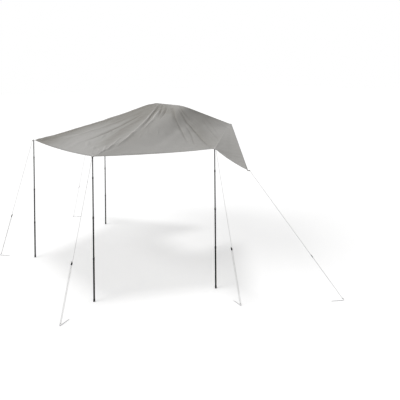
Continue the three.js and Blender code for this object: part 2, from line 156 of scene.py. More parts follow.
class Board:
    """The nodes of one material."""

    def __init__(self, owner: Any) -> None:
        """Clears the nodes of a material or a world.

        Args:
            owner: A world, or the name of a new material.
        """
        self.material = bpy.data.materials.new(owner) if isinstance(owner, str) else owner
        self.material.use_nodes = True
        self.tree = self.material.node_tree
        self.tree.nodes.clear()

    def add(
        self,
        kind: str,
        settings: dict[str, Any] | None = None,
        inputs: dict[Any, Any] | None = None,
        output: int | str = 0,
    ) -> Wire:
        """Adds a node: its settings first, then the values and links of its sockets.

        Args:
            kind: The node's type, without its ShaderNode prefix.
            settings: The node's own settings, such as a Math node's operation.
            inputs: A value or a wire for each input socket.
            output: The output socket that is wanted.

        Returns:
            The output as a wire.
        """
        node = self.tree.nodes.new("ShaderNode" + kind)
        for key, value in (settings or {}).items():
            setattr(node, key, value)
        for key, value in (inputs or {}).items():
            if isinstance(value, Wire):
                self.tree.links.new(value.socket, node.inputs[key])
            else:
                node.inputs[key].default_value = value
        return Wire(self, node.outputs[output])

    def places(self, scale: Point = (1.0, 1.0, 1.0)) -> Wire:
        """Object coordinates, stretched by a factor for each axis."""
        coordinates = self.add("TexCoord", output="Object")
        return self.add("Mapping", inputs={"Vector": coordinates, "Scale": scale})

    def uv(self, name: str) -> tuple[Wire, Wire]:
        """The two coordinates of a piece's own UV map."""
        split = self.add("SeparateXYZ", inputs={0: self.add("UVMap", {"uv_map": name})})
        return split, Wire(self, split.socket.node.outputs[1])

    def attribute(self, name: str) -> Wire:
        """A number that is kept with the mesh."""
        return self.add("Attribute", {"attribute_name": name}, output="Fac")

    def noise(self, vector: Wire, scale: float, detail: float = 2.0) -> Wire:
        """Soft noise about 0.

        Args:
            vector: The coordinates.
            scale: The noise's scale.
            detail: How many finer layers it has.

        Returns:
            The noise, mostly from -0.3 to 0.3.
        """
        inputs = {"Vector": vector, "Scale": scale, "Detail": detail}
        return self.add("TexNoise", inputs=inputs) - 0.5

    def mix(self, factor: Any, first: Any, second: Any) -> Wire:
        """A colour between two colours.

        Args:
            factor: 0 or less for the first and 1 or more for the second.
            first: The first colour.
            second: The second colour.

        Returns:
            The mixed colour.
        """
        pair = [c if isinstance(c, Wire) else (*c, 1.0) for c in (first, second)]
        return self.add("Mix", {"data_type": "RGBA"}, {0: factor, 6: pair[0], 7: pair[1]}, 2)

    def bump(self, height: Wire, distance: float, normal: Wire | None = None) -> Wire:
        """The normal over a relief.

        Args:
            height: The relief's height.
            distance: How many metres a height of 1 is.
            normal: The normal below, if the relief is on another.

        Returns:
            The new normal.
        """
        inputs: dict[Any, Any] = {"Height": height, "Distance": distance}
        if normal:
            inputs["Normal"] = normal
        return self.add("Bump", inputs=inputs)

    def surface(self, base: Any, roughness: Any, normal: Any, **fixed: float) -> bpy.types.Material:
        """Ends the material with its shader.

        Args:
            base: The colour.
            roughness: The roughness.
            normal: The normal.
            fixed: Values of the shader's own sockets, with _ for a space.

        Returns:
            The finished material.
        """
        inputs: dict[Any, Any] = {"Base Color": base, "Roughness": roughness, "Normal": normal}
        inputs.update({key.replace("_", " "): value for key, value in fixed.items()})
        shader = self.add("BsdfPrincipled", inputs=inputs)
        self.add_output(shader)
        return self.material

    def add_output(self, shader: Wire) -> None:
        """Joins a shader to the material's output.

        Args:
            shader: The shader.
        """
        is_world = isinstance(self.material, bpy.types.World)
        kind = "ShaderNodeOutputWorld" if is_world else "ShaderNodeOutputMaterial"
        node = self.tree.nodes.new(kind)
        self.tree.links.new(shader.socket, node.inputs["Surface"])


@dataclass(frozen=True)
class CanopyCloth:
    """Coated polyester in a warm grey, with its weave, seams and stitches, and painted shade and
    highlights.
    """

    colour: Colour = (0.385, 0.375, 0.358)
    shade: Colour = (0.335, 0.328, 0.315)
    # The hem band's darker colour: partly its doubled cloth and partly painted shade
    hem: Colour = (0.262, 0.256, 0.246)
    # Colour of the painted shade strokes and crease hollows, and of random darker clouding
    grime: Colour = (0.205, 0.193, 0.170)
    thread: Colour = (0.40, 0.388, 0.365)
    # Painted highlight on the crease crests
    crest: Colour = (0.50, 0.485, 0.458)
    thread_pitch: float = 0.0012
    stitch_pitch: float = 0.0042
    stitch_width: float = 0.0007
    hem_rows: tuple[float, float] = (0.004, 0.024)
    seam_row: float = 0.0042
    seam_edge: tuple[float, float] = (0.0075, 0.0055)
    hem_edge: tuple[float, float] = (0.029, 0.027)
    cloud_scale: float = 1.7
    mottle_scale: float = 42.0
    mottle_stretch: Point = (1.0, 1.0, 0.4)
    crumple_scale: float = 11.0
    crumple_stretch: Point = (1.0, 1.0, 0.6)
    crumple_depth: float = 0.004
    weave_depth: float = 0.00012
    thread_depth: float = 0.0006
    shading: float = 0.42
    clouding: float = 0.9
    mottling: float = 0.35
    weave_shading: float = 0.05
    doubled_shading: float = 0.22
    # How far the hem band goes to its darker colour, which is partly painted shade
    hem_share: float = 0.8
    patchiness: float = 0.30
    # Shares of painted shade in crease hollows and painted highlight on crease crests
    hollow_share: float = 0.45
    crest_share: float = 0.7
    roughness: float = 0.43
    gloss: float = 0.28
    sheen: float = 0.05

    def stitches(self, distance: Wire, row: float, run: Wire) -> Wire:
        """A row of stitches beside an edge.

        Args:
            distance: The way from the edge.
            row: How far from the edge the row is.
            run: The way along the edge.

        Returns:
            1 on the thread and 0 elsewhere.
        """
        off = (distance - row).math("ABSOLUTE").step(self.stitch_width, self.stitch_width / 2)
        return off * run.wave(self.stitch_pitch).step(-0.75, -0.35)

    def build(self) -> bpy.types.Material:
        """Makes the material.

        Returns:
            The material.
        """
        board = Board("canopy_cloth")
        run, drop = board.uv("cloth")
        seam, hem = board.attribute("seam"), board.attribute("hem")
        thread = self.stitches(seam, self.seam_row, drop)
        for row in self.hem_rows:
            thread = thread.math("MAXIMUM", self.stitches(hem, row, run))
        hemmed = hem.step(*self.hem_edge)
        doubled = seam.step(*self.seam_edge).math("MAXIMUM", hemmed)
        clouds = board.noise(board.places(), self.cloud_scale, 4.0)
        mottle = board.noise(board.places(self.mottle_stretch), self.mottle_scale, 3.0)
        weave = run.wave(self.thread_pitch) * drop.wave(self.thread_pitch)
        tint = clouds * self.clouding + mottle * self.mottling + weave * self.weave_shading
        tint = tint + doubled * self.doubled_shading + self.shading
        cloth = board.mix(tint, self.colour, self.shade)
        # Hem band darkened, partly for its doubled cloth and partly as painted shade
        cloth = board.mix(hemmed * self.hem_share, cloth, self.hem)
        fold = board.attribute("fold")
        raised, hollow = fold.math("MAXIMUM", 0.0), fold.math("MINIMUM", 0.0)
        # Painted shade from the strokes, with random clouding, kept off the crests and deepened in the
        # hollows
        painted_shade_and_tone = (board.attribute("soil") + clouds * self.patchiness) * (1.0 - raised)
        cloth = board.mix(painted_shade_and_tone - hollow * self.hollow_share, cloth, self.grime)
        # Painted highlight on the crease crests
        cloth = board.mix(raised * self.crest_share, cloth, self.crest)
        base = board.mix(thread, cloth, self.thread)
        crumple = board.noise(board.places(self.crumple_stretch), self.crumple_scale, 5.0)
        relief = board.bump(crumple, self.crumple_depth)
        relief = board.bump(weave * 0.5 + mottle * 0.6, self.weave_depth, relief)
        relief = board.bump(thread, self.thread_depth, relief)
        rough = mottle * 0.15 - thread * 0.05 + self.roughness
        fixed = {"Specular_IOR_Level": self.gloss, "Sheen_Weight": self.sheen}
        return board.surface(base, rough, relief, **fixed)


@dataclass(frozen=True)
class Tape:
    """Woven tape: the tabs' webbing or the hook-and-loop strip."""

    name: str
    colour: Colour
    shade: Colour
    rib: float
    pile_depth: float
    pile_scale: float = 900.0
    dust_scale: float = 14.0
    rib_depth: float = 0.00025
    roughness: float = 0.85
    sheen: float = 0.2

    def build(self) -> bpy.types.Material:
        """Makes the material.

        Returns:
            The material.
        """
        board = Board(self.name)
        run, across = board.uv("tape")
        twill, ribs = (run + across).wave(self.rib), (run - across).wave(self.rib)
        weave = twill.math("MAXIMUM", ribs)
        pile = board.noise(board.places(), self.pile_scale)
        dust = board.noise(board.places(), self.dust_scale, 4.0)
        tint = weave * 0.18 + dust * 0.8 + pile * 0.5 + 0.5
        base = board.mix(tint, self.shade, self.colour)
        relief = board.bump(weave * 0.5, self.rib_depth)
        relief = board.bump(pile, self.pile_depth, relief)
        fixed = {"Sheen_Weight": self.sheen, "Sheen_Roughness": 0.5}
        return board.surface(base, dust * 0.15 + self.roughness, relief, **fixed)


@dataclass(frozen=True)
class DrawnMetal:
    """Metal drawn into a tube or wire, with fine lines along it, scuffs and dust."""

    name: str
    colour: Colour
    worn: Colour
    roughness: float
    metallic: float
    gloss: float = 0.5
    lines: Point = (700.0, 700.0, 5.0)
    wear: float = 0.10
    scuffs: Point = (60.0, 60.0, 220.0)
    cloud_scale: float = 9.0
    line_depth: float = 0.00004
    wear_depth: float = 0.00003

    def build(self) -> bpy.types.Material:
        """Makes the material.

        Returns:
            The material.
        """
        board = Board(self.name)
        lines = board.noise(board.places(self.lines), 1.0, 3.0)
        clouds = board.noise(board.places(), self.cloud_scale, 3.0)
        scuffs = board.noise(board.places(self.scuffs), 1.0, 4.0)
        worn = (scuffs + clouds * 0.5).step(0.30 - self.wear, 0.42 - self.wear)
        tint = (lines * 0.5 + clouds * 0.5 + 0.15).math("MAXIMUM", 0.0) + worn * 0.35
        base = board.mix(tint, self.colour, self.worn)
        relief = board.bump(lines, self.line_depth)
        relief = board.bump(worn, self.wear_depth, relief)
        rough = lines * 0.12 + clouds * 0.18 + worn * 0.12 + self.roughness
        fixed = {"Metallic": self.metallic, "Specular_IOR_Level": self.gloss}
        return board.surface(base, rough, relief, **fixed)


@dataclass(frozen=True)
class Moulded:
    """Moulded plastic or rubber with a fine grain, rubbed patches and dust."""

    name: str
    colour: Colour
    dusty: Colour
    grain_depth: float
    roughness: float
    gloss: float = 0.25
    grain_scale: float = 1400.0
    dust_scale: float = 55.0
    dust_stretch: Point = (1.0, 1.0, 1.6)
    dust_depth: float = 0.0002

    def build(self) -> bpy.types.Material:
        """Makes the material.

        Returns:
            The material.
        """
        board = Board(self.name)
        grain = board.noise(board.places(), self.grain_scale)
        dust = board.noise(board.places(self.dust_stretch), self.dust_scale, 5.0)
        rub = dust.step(0.02, 0.28)
        base = board.mix(rub * 0.8 + grain * 0.2, self.colour, self.dusty)
        relief = board.bump(grain, self.grain_depth)
        relief = board.bump(dust, self.dust_depth, relief)
        rough = rub * 0.18 + grain * 0.12 + self.roughness
        return board.surface(base, rough, relief, Specular_IOR_Level=self.gloss)


@dataclass(frozen=True)
class BraidedCord:
    """Braided cord: strands that cross in diamonds, with a darker tracer."""

    colour: Colour = (0.46, 0.456, 0.44)
    gap: Colour = (0.22, 0.216, 0.205)
    tracer: Colour = (0.27, 0.262, 0.25)
    pitch: float = 0.0056
    strands: int = 8
    tracer_turns: int = 4
    fuzz_scale: float = 1500.0
    strand_depth: float = 0.0003
    fuzz_depth: float = 0.0001
    roughness: float = 0.82
    sheen: float = 0.15

    def build(self) -> bpy.types.Material:
        """Makes the material.

        Returns:
            The material.
        """
        board = Board("braided_cord")
        turn, run = board.uv("cord")
        along, round_ = run / self.pitch, turn * (self.strands / 2)
        strand = (along + round_).wave(1.0).math("MAXIMUM", (along - round_).wave(1.0))
        fuzz = board.noise(board.places(), self.fuzz_scale)
        tracer = (run / (self.pitch * self.tracer_turns) + turn).wave(1.0).step(0.90, 0.99)
        cord = board.mix(strand.step(-0.2, 0.6), self.gap, self.colour)
        base = board.mix(tracer * 0.7, cord, self.tracer)
        relief = board.bump(strand, self.strand_depth)
        relief = board.bump(fuzz, self.fuzz_depth, relief)
        return board.surface(base, fuzz * 0.2 + self.roughness, relief, Sheen_Weight=self.sheen)


@dataclass(frozen=True)
class PaleFloor:
    """A pale floor that is white where it is lit and keeps a soft shadow."""

    colour: Colour = (0.94, 0.94, 0.94)
    speckle: Colour = (0.90, 0.90, 0.90)
    seen_colour: Colour = (1.32, 1.32, 1.32)
    glow: float = 0.32

    def build(self) -> bpy.types.Material:
        """Makes the material.

        Returns:
            The material.
        """
        board = Board("pale_floor")
        seen = seen_rays(board)
        speckle = board.noise(board.places(), 3.0, 3.0)
        base = board.mix((speckle * 0.2).math("ABSOLUTE"), self.colour, self.speckle)
        base = board.mix(seen, base, self.seen_colour)
        matte = board.add("BsdfDiffuse", inputs={"Color": base})
        white = board.add("Emission", inputs={"Color": (1.0, 1.0, 1.0, 1.0), "Strength": 1.0})
        board.add_output(board.add("MixShader", inputs={0: seen * self.glow, 1: matte, 2: white}))
        return board.material


def seen_rays(board: Board) -> Wire:
    """1 for a ray from the camera, a mirror or a glass, and 0 for a ray that lights the object.

    Args:
        board: The nodes that it is added to.

    Returns:
        The 1 or 0.
    """
    path = board.add("LightPath", output="Is Camera Ray")
    outputs = path.socket.node.outputs
    glossy = Wire(board, outputs["Is Glossy Ray"])
    glass = Wire(board, outputs["Is Transmission Ray"])
    return path.math("MAXIMUM", glossy).math("MAXIMUM", glass)


@dataclass(frozen=True)
class Finishes:
    """Every finish of the awning, made once."""

    cloth: bpy.types.Material
    webbing: bpy.types.Material
    hook_tape: bpy.types.Material
    lower_tube: bpy.types.Material
    upper_tube: bpy.types.Material
    bright: bpy.types.Material
    steel: bpy.types.Material
    plastic: bpy.types.Material
    rubber: bpy.types.Material
    cord: bpy.types.Material

    @classmethod
    def build(cls) -> "Finishes":
        """Makes all the materials.

        Returns:
            The finishes.
        """
        webbing = Tape("woven_webbing", (0.25, 0.245, 0.23), (0.17, 0.166, 0.156), 0.0032, 0.0002)
        hooks = Tape("hook_tape", (0.050, 0.050, 0.047), (0.018, 0.018, 0.017), 0.0024, 0.0009)
        anodised = {"metallic": 0.1, "gloss": 0.14}
        lower = DrawnMetal("black_tube", (0.004, 0.004, 0.0045), (0.022, 0.022, 0.023), 0.44, **anodised)
        upper = DrawnMetal("upper_tube", (0.005, 0.005, 0.0055), (0.028, 0.028, 0.029), 0.42, **anodised)
        plated = {"roughness": 0.24, "metallic": 1.0, "lines": (260.0, 260.0, 260.0)}
        bright = DrawnMetal("plated_metal", (0.50, 0.50, 0.49), (0.66, 0.65, 0.63), **plated)
        drawn = {**plated, "roughness": 0.34, "metallic": 0.9, "wear": 0.16}
        steel = DrawnMetal("wire_steel", (0.26, 0.26, 0.265), (0.40, 0.40, 0.40), **drawn)
        plastic = Moulded("moulded_plastic", (0.007, 0.007, 0.008), (0.028, 0.028, 0.028), 0.00012, 0.46)
        rubber = Moulded("foot_rubber", (0.008, 0.008, 0.008), (0.040, 0.039, 0.037), 0.00018, 0.72)
        parts = (CanopyCloth(), webbing, hooks, lower, upper, bright, steel, plastic, rubber, BraidedCord())
        return cls(*(part.build() for part in parts))


# Meshes


def dress(
    obj: bpy.types.Object, material: bpy.types.Material, slot: Slot, *nodes: str
) -> bpy.types.Object:
    """Gives a finished piece its material, hides any CAD nodes that it stands for and logs its slot.

    Args:
        obj: The piece, with its place in its mesh.
        material: Its finish.
        slot: The record's slot for that finish.
        nodes: The CAD nodes that it stands for.

    Returns:
        The same piece.
    """
    obj.data.materials.clear()
    obj.data.materials.append(material)
    if nodes:
        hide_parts(*nodes)
    log.info("%s is made of %s: %d faces", obj.name, slot.value, len(obj.data.polygons))
    return obj


def keep(
    obj: bpy.types.Object, body: str, material: bpy.types.Material, slot: Slot, *nodes: str
) -> bpy.types.Object:
    """Dresses a finished piece that rides on one body.

    Args:
        obj: The piece, with its place in its mesh.
        body: The body that it rides on.
        material: Its finish.
        slot: The record's slot for that finish.
        nodes: The CAD nodes that it stands for.

    Returns:
        The same piece.
    """
    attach(obj, body)
    return dress(obj, material, slot, *nodes)


def new_object(name: str, mesh: bpy.types.Mesh) -> bpy.types.Object:
    """Puts a mesh into the scene as an object at the origin.

    Args:
        name: The object's name.
        mesh: The mesh.

    Returns:
        The object.
    """
    obj = bpy.data.objects.new(name, mesh)
    bpy.context.scene.collection.objects.link(obj)
    return obj


def copied(model: bpy.types.Object, name: str, place: Matrix) -> bpy.types.Object:
    """A copy of a piece with a mesh of its own.

    Args:
        model: The piece to copy.
        name: The copy's name.
        place: Where the copy goes, which is put into its mesh.

    Returns:
        The copy.
    """
    mesh = model.data.copy()
    mesh.transform(place)
    mesh.name = name
    return new_object(name, mesh)


def discard(*models: bpy.types.Object) -> None:
    """Removes the pieces that were only made to be copied."""
    for model in models:
        bpy.data.meshes.remove(model.data)


def mesh_from(name: str, points: np.ndarray, faces: Sequence[Sequence[int]]) -> bpy.types.Object:
    """A smoothly shaded object from points and faces.

    Args:
        name: Its name.
        points: The points, in rows of three numbers.
        faces: The indices of each face's points.

    Returns:
        The object.
    """
    mesh = bpy.data.meshes.new(name)
    mesh.from_pydata(points.reshape(-1, 3).tolist(), [], faces)
    mesh.polygons.foreach_set("use_smooth", [True] * len(mesh.polygons))
    mesh.update()
    return new_object(name, mesh)


def corner_points(obj: bpy.types.Object) -> np.ndarray:
    """The index of the point at each corner of each face.

    Args:
        obj: The object.

    Returns:
        The indices, in the order of the faces.
    """
    index = np.zeros(len(obj.data.loops), np.int32)
    obj.data.loops.foreach_get("vertex_index", index)
    return index


def lay_uv(obj: bpy.types.Object, name: str, values: np.ndarray) -> None:
    """Gives a mesh a UV map.

    Args:
        obj: The object.
        name: The map's name.
        values: A pair of numbers for each corner of each face.
    """
    layer = obj.data.uv_layers.new(name=name)
    layer.data.foreach_set("uv", values.astype(np.float32).ravel())


def point_array(obj: bpy.types.Object) -> np.ndarray:
    """The places of a mesh's points.

    Args:
        obj: The object.

    Returns:
        The places, one a row.
    """
    points = np.zeros(len(obj.data.vertices) * 3)
    obj.data.vertices.foreach_get("co", points)
    return points.reshape(-1, 3)


class Bench:
    """One new mesh, shaped in edit mode."""

    def __init__(self, name: str) -> None:
        """Takes the primitive that was just added.

        Args:
            name: The name of the piece.
        """
        self.obj = bpy.context.object
        self.obj.name = self.obj.data.name = name
        bpy.ops.object.transform_apply(location=True, rotation=True, scale=True)
        bpy.ops.object.mode_set(mode="EDIT")

    @classmethod
    def cylinder(cls, name: str, sides: int, radius: float, low: float, high: float) -> "Bench":
        """Starts from an upright cylinder.

        Args:
            name: The name of the piece.
            sides: How many sides it has.
            radius: Its radius.
            low: The height of its foot.
            high: The height of its top.

        Returns:
            The bench with the cylinder on it.
        """
        bpy.ops.object.select_all(action="DESELECT")
        size = {"vertices": sides, "radius": radius, "depth": high - low}
        bpy.ops.mesh.primitive_cylinder_add(**size, location=(0.0, 0.0, (low + high) / 2))
        return cls(name)

    @classmethod
    def block(cls, name: str, size: Point) -> "Bench":
        """Starts from a block about the origin.

        Args:
            name: The name of the piece.
            size: Its width, depth and height.

        Returns:
            The bench with the block on it.
        """
        bpy.ops.object.select_all(action="DESELECT")
        bpy.ops.mesh.primitive_cube_add(size=1.0, scale=size)
        return cls(name)

    @classmethod
    def dot(cls, name: str, radius: float, height: float) -> "Bench":
        """Starts from a single point in the XZ plane.

        Args:
            name: The name of the piece.
            radius: The point's X.
            height: The point's Z.

        Returns:
            The bench with the point on it.
        """
        bpy.ops.object.select_all(action="DESELECT")
        bpy.ops.mesh.primitive_plane_add(size=0.001)
        bench = cls(name)
        bpy.ops.mesh.merge(type="CENTER")
        bpy.ops.transform.translate(value=(radius, 0.0, height))
        return bench

    def pick_faces(self, test: Callable[[Vector, Vector], bool]) -> None:
        """Selects the faces whose middle and normal pass a test.

        Args:
            test: The test, which takes a face's middle and normal.
        """
        bpy.ops.mesh.select_mode(type="FACE")
        bpy.ops.mesh.select_all(action="DESELECT")
        net = bmesh.from_edit_mesh(self.obj.data)
        for face in net.faces:
            face.select_set(test(face.calc_center_median(), face.normal))
        net.select_flush(True)
        bmesh.update_edit_mesh(self.obj.data)

    def pick_edges(self, test: Callable[[Vector, float], bool]) -> None:
        """Selects the edges whose middle and dihedral angle pass a test.

        Args:
            test: The test, which takes an edge's middle and the angle between its faces.
        """
        bpy.ops.mesh.select_mode(type="EDGE")
        bpy.ops.mesh.select_all(action="DESELECT")
        net = bmesh.from_edit_mesh(self.obj.data)
        for edge in net.edges:
            middle = (edge.verts[0].co + edge.verts[1].co) / 2
            edge.select_set(test(middle, edge.calc_face_angle(math.pi)))
        net.select_flush(False)
        bmesh.update_edit_mesh(self.obj.data)

    def inset(self, width: float) -> None:
        """Insets the selected faces as one region."""
        bpy.ops.mesh.inset(thickness=width, use_even_offset=True)

    def push(self, distance: float) -> None:
        """Moves the selected faces out along their normals."""
        bpy.ops.transform.shrink_fatten(value=distance, use_even_offset=True)

    def extrude(self, x: float, y: float, z: float) -> None:
        """Extrudes the selection by a step."""
        bpy.ops.mesh.extrude_region_move(TRANSFORM_OT_translate={"value": (x, y, z)})

    def round_sharp(self, width: float, segments: int, least: float = 50.0) -> None:
        """Bevels the edges that turn by more than an angle in degrees."""
        self.pick_edges(lambda middle, angle: angle > math.radians(least))
        bpy.ops.mesh.bevel(offset=width, segments=segments, affect="EDGES", clamp_overlap=True)

    def cut(self, place: Point, normal: Point) -> None:
        """Cuts all faces along a plane."""
        bpy.ops.mesh.select_all(action="SELECT")
        bpy.ops.mesh.bisect(plane_co=place, plane_no=normal)

    def done(self, outwards: bool = False) -> bpy.types.Object:
        """Ends the shaping.

        Args:
            outwards: Whether the normals have to be worked out again.

        Returns:
            The finished object.
        """
        bpy.ops.mesh.select_mode(type="VERT")
        bpy.ops.mesh.select_all(action="SELECT")
        if outwards:
            bpy.ops.mesh.remove_doubles(threshold=1e-6)
            bpy.ops.mesh.normals_make_consistent(inside=False)
        bpy.ops.object.mode_set(mode="OBJECT")
        bpy.ops.object.shade_smooth_by_angle(angle=SMOOTH_ANGLE)
        return self.obj


def turned(name: str, profile: Profile, sides: int) -> bpy.types.Object:
    """A body turned about the upright axis: a profile drawn point by point, then spun.

    Args:
        name: Its name.
        profile: Pairs of radius and height.
        sides: How many sides it has.

    Returns:
        The body.
    """
    bench = Bench.dot(name, *profile[0])
    for (radius, height), (next_radius, next_height) in zip(profile, profile[1:]):
        bench.extrude(next_radius - radius, 0.0, next_height - height)
    bpy.ops.mesh.select_all(action="SELECT")
    bpy.ops.mesh.spin(steps=sides, angle=2 * math.pi, center=(0, 0, 0), axis=(0, 0, 1))
    return bench.done(outwards=True)


def arc(middle: tuple[float, float], radius: float, start: float, end: float, steps: int) -> Profile:
    """Points of an arc in a profile.

    Args:
        middle: The arc's middle.
        radius: Its radius.
        start: The angle of its first point, in degrees.
        end: The angle of its last point, in degrees.
        steps: How many steps it has.

    Returns:
        The points.
    """
    angles = [math.radians(start + (end - start) * i / steps) for i in range(steps + 1)]
    return [(middle[0] + radius * math.cos(a), middle[1] + radius * math.sin(a)) for a in angles]


def swept(
    name: str, points: Sequence[Vector], radii: Sequence[float], sides: int, closed: bool = False
) -> bpy.types.Object:
    """A round bar along a path, with its own map round and along it.

    Args:
        name: Its name.
        points: The middles of its rings.
        radii: The radius at each ring.
        sides: How many sides it has.
        closed: Whether the last ring joins the first.

    Returns:
        The bar.
    """
    path = np.array([tuple(p) for p in points])
    if closed:
        ways = np.roll(path, -1, 0) - np.roll(path, 1, 0)
    else:
        ways = np.gradient(path, axis=0)
    ways /= np.linalg.norm(ways, axis=1)[:, None]
    side = np.cross(ways[0], (0.0, 0.0, 1.0) if abs(ways[0][2]) < 0.9 else (1.0, 0.0, 0.0))
    count = len(path)
    angles = np.arange(sides) * 2 * math.pi / sides
    rings, sides_at = [], []
    for way in ways:
        side = side - way * side.dot(way)
        side = side / np.linalg.norm(side)
        sides_at.append(side)
    drift = 0.0
    if closed:
        last = sides_at[-1] - ways[0] * sides_at[-1].dot(ways[0])
        drift = math.atan2(np.cross(last, sides_at[0]).dot(ways[0]), last.dot(sides_at[0]))
    for index, (place, way, side, radius) in enumerate(zip(path, ways, sides_at, radii)):
        turn = angles + drift * index / count
        other = np.cross(way, side)
        rings.append(place + radius * (np.outer(np.cos(turn), side) + np.outer(np.sin(turn), other)))
    faces = []
    for i in range(count if closed else count - 1):
        a, b = i * sides, ((i + 1) % count) * sides
        faces += [(a + k, a + (k + 1) % sides, b + (k + 1) % sides, b + k) for k in range(sides)]
    if not closed:
        faces += [tuple(range(sides - 1, -1, -1)), tuple(range((count - 1) * sides, count * sides))]
    obj = mesh_from(name, np.concatenate(rings), faces)
    lengths = np.concatenate([[0], np.cumsum(np.linalg.norm(np.diff(path, axis=0), axis=1))])
    index = corner_points(obj)
    turned_by = (index % sides) / sides
    starts = np.array([p.loop_start for p in obj.data.polygons for _ in range(p.loop_total)])
    crosses_end = (turned_by[starts] > 0.75) & (turned_by < 0.25)
    lay_uv(obj, "cord", np.stack([turned_by + crosses_end, lengths[index // sides]], axis=1))
    return obj


# The camera


@dataclass(frozen=True)
class PhotoView:
    """The camera at the photograph's viewing angle."""

    place: Point = (7.672, -4.2975, 3.30)
    heading: tuple[float, float] = (-0.8076, 0.5897)
    pitch_deg: float = -0.7
    roll_deg: float = -0.5
    lens_mm: float = 43.74
    sensor_mm: float = 36.0
    shift_y: float = -0.312
    clip: tuple[float, float] = (0.05, 200.0)

    def build(self) -> None:
        """Makes the camera and gives it to the scene."""
        data = bpy.data.cameras.new("photo_view")
        data.lens, data.sensor_width, data.shift_y = self.lens_mm, self.sensor_mm, self.shift_y
        data.clip_start, data.clip_end = self.clip
        camera = bpy.data.objects.new("photo_view", data)
        bpy.context.scene.collection.objects.link(camera)
        pitch = math.radians(self.pitch_deg)
        way = Vector((*[c * math.cos(pitch) for c in self.heading], math.sin(pitch)))
        camera.location = self.place
        camera.rotation_mode = "QUATERNION"
        roll = Quaternion((0.0, 0.0, 1.0), math.radians(self.roll_deg))
        camera.rotation_quaternion = way.to_track_quat("-Z", "Y") @ roll
        bpy.context.scene.camera = camera
        log.info("camera at %s", self.place)


# The places of the awning's corners

ROUND_TAB = 0.02035  # from a tab's middle to the cloth, where the tab is round
LONG_TAB = 0.0266271  # the same where it is drawn out to a point


@dataclass(frozen=True)
class Corner:
    """One corner of the canopy: its tab's middle and the share of the upper edge it hangs from."""

    name: str
    x: float
    y: float
    height: float
    edge_share: float
    reach: float = ROUND_TAB
    on_pole: bool = True

    @property
    def place(self) -> Vector:
        """The middle of the tab."""
        return Vector((self.x, self.y + TO_ROW, self.height))

    def inward(self, edge: "UpperEdge") -> Vector:
        """The level way from the tab to its seam's start on the upper edge."""
        start = edge.at(np.array(self.edge_share))
        return Vector((start[0] - self.x, start[1] - self.y - TO_ROW, 0.0)).normalized()


CORNERS = (
    Corner("rear_wing", -2.667, 0.0, 1.899, 0.0, on_pole=False),
    Corner("rear_inner", -1.915, 0.0, 2.055, 0.018, reach=LONG_TAB),
    Corner("rear_outer", -0.978, -1.793, 2.070, 0.405),
    Corner("front_outer", 1.200, -1.641, 2.070, 0.595),
    Corner("front_inner", 1.915, 0.0, 2.101, 0.982, reach=LONG_TAB),
    Corner("front_wing", 2.667, 0.0, 1.899, 1.0, on_pole=False),
)
CORNER = {corner.name: corner for corner in CORNERS}


# Guylines


@dataclass(frozen=True)
class LineShape:
    """The sizes that every guyline, tensioner and peg share."""

    diameter: float = 0.004
    loop_radius: float = 0.008
    peg_clearance: float = 0.0004
    start_gap: float = 0.0004
    tail: float = 0.008
    tensioner_share: float = 0.33
    tensioner: Point = (0.025, 0.010, 0.034)
    tensioner_corner: float = 0.0028
    groove: float = 0.0034
    groove_depth: float = 0.0007
    tensioner_rounding: float = 0.0004
    channel_clearance: float = 0.0006
    wire: float = 0.006
    hook_radius: float = 0.012
    shank: float = 0.175
    shank_rings: tuple[float, ...] = (0.12, 0.06, 0.02)
    peg_point: Profile = ((0.0, 0.0006), (0.006, 0.0020), (0.014, 0.0030))
    hook_end: Profile = ((0.008, 0.003), (0.0015, 0.003), (0.0004, 0.0026), (0.0, 0.0017))
    tip: float = 0.017
    loop_place: float = 0.005
    tab_radius: float = 0.020
    hitch_rim: float = 0.0235
    hitch_lift: float = 0.0046
    hitch_half: float = 0.0078
    knot_size: float = 0.00185
    knot_depth: float = 1.5
    knot_drop: float = 0.004
    stopper_lift: float = 0.001
    near_turn: tuple[float, ...] = (0.005, 0.010, 0.020)


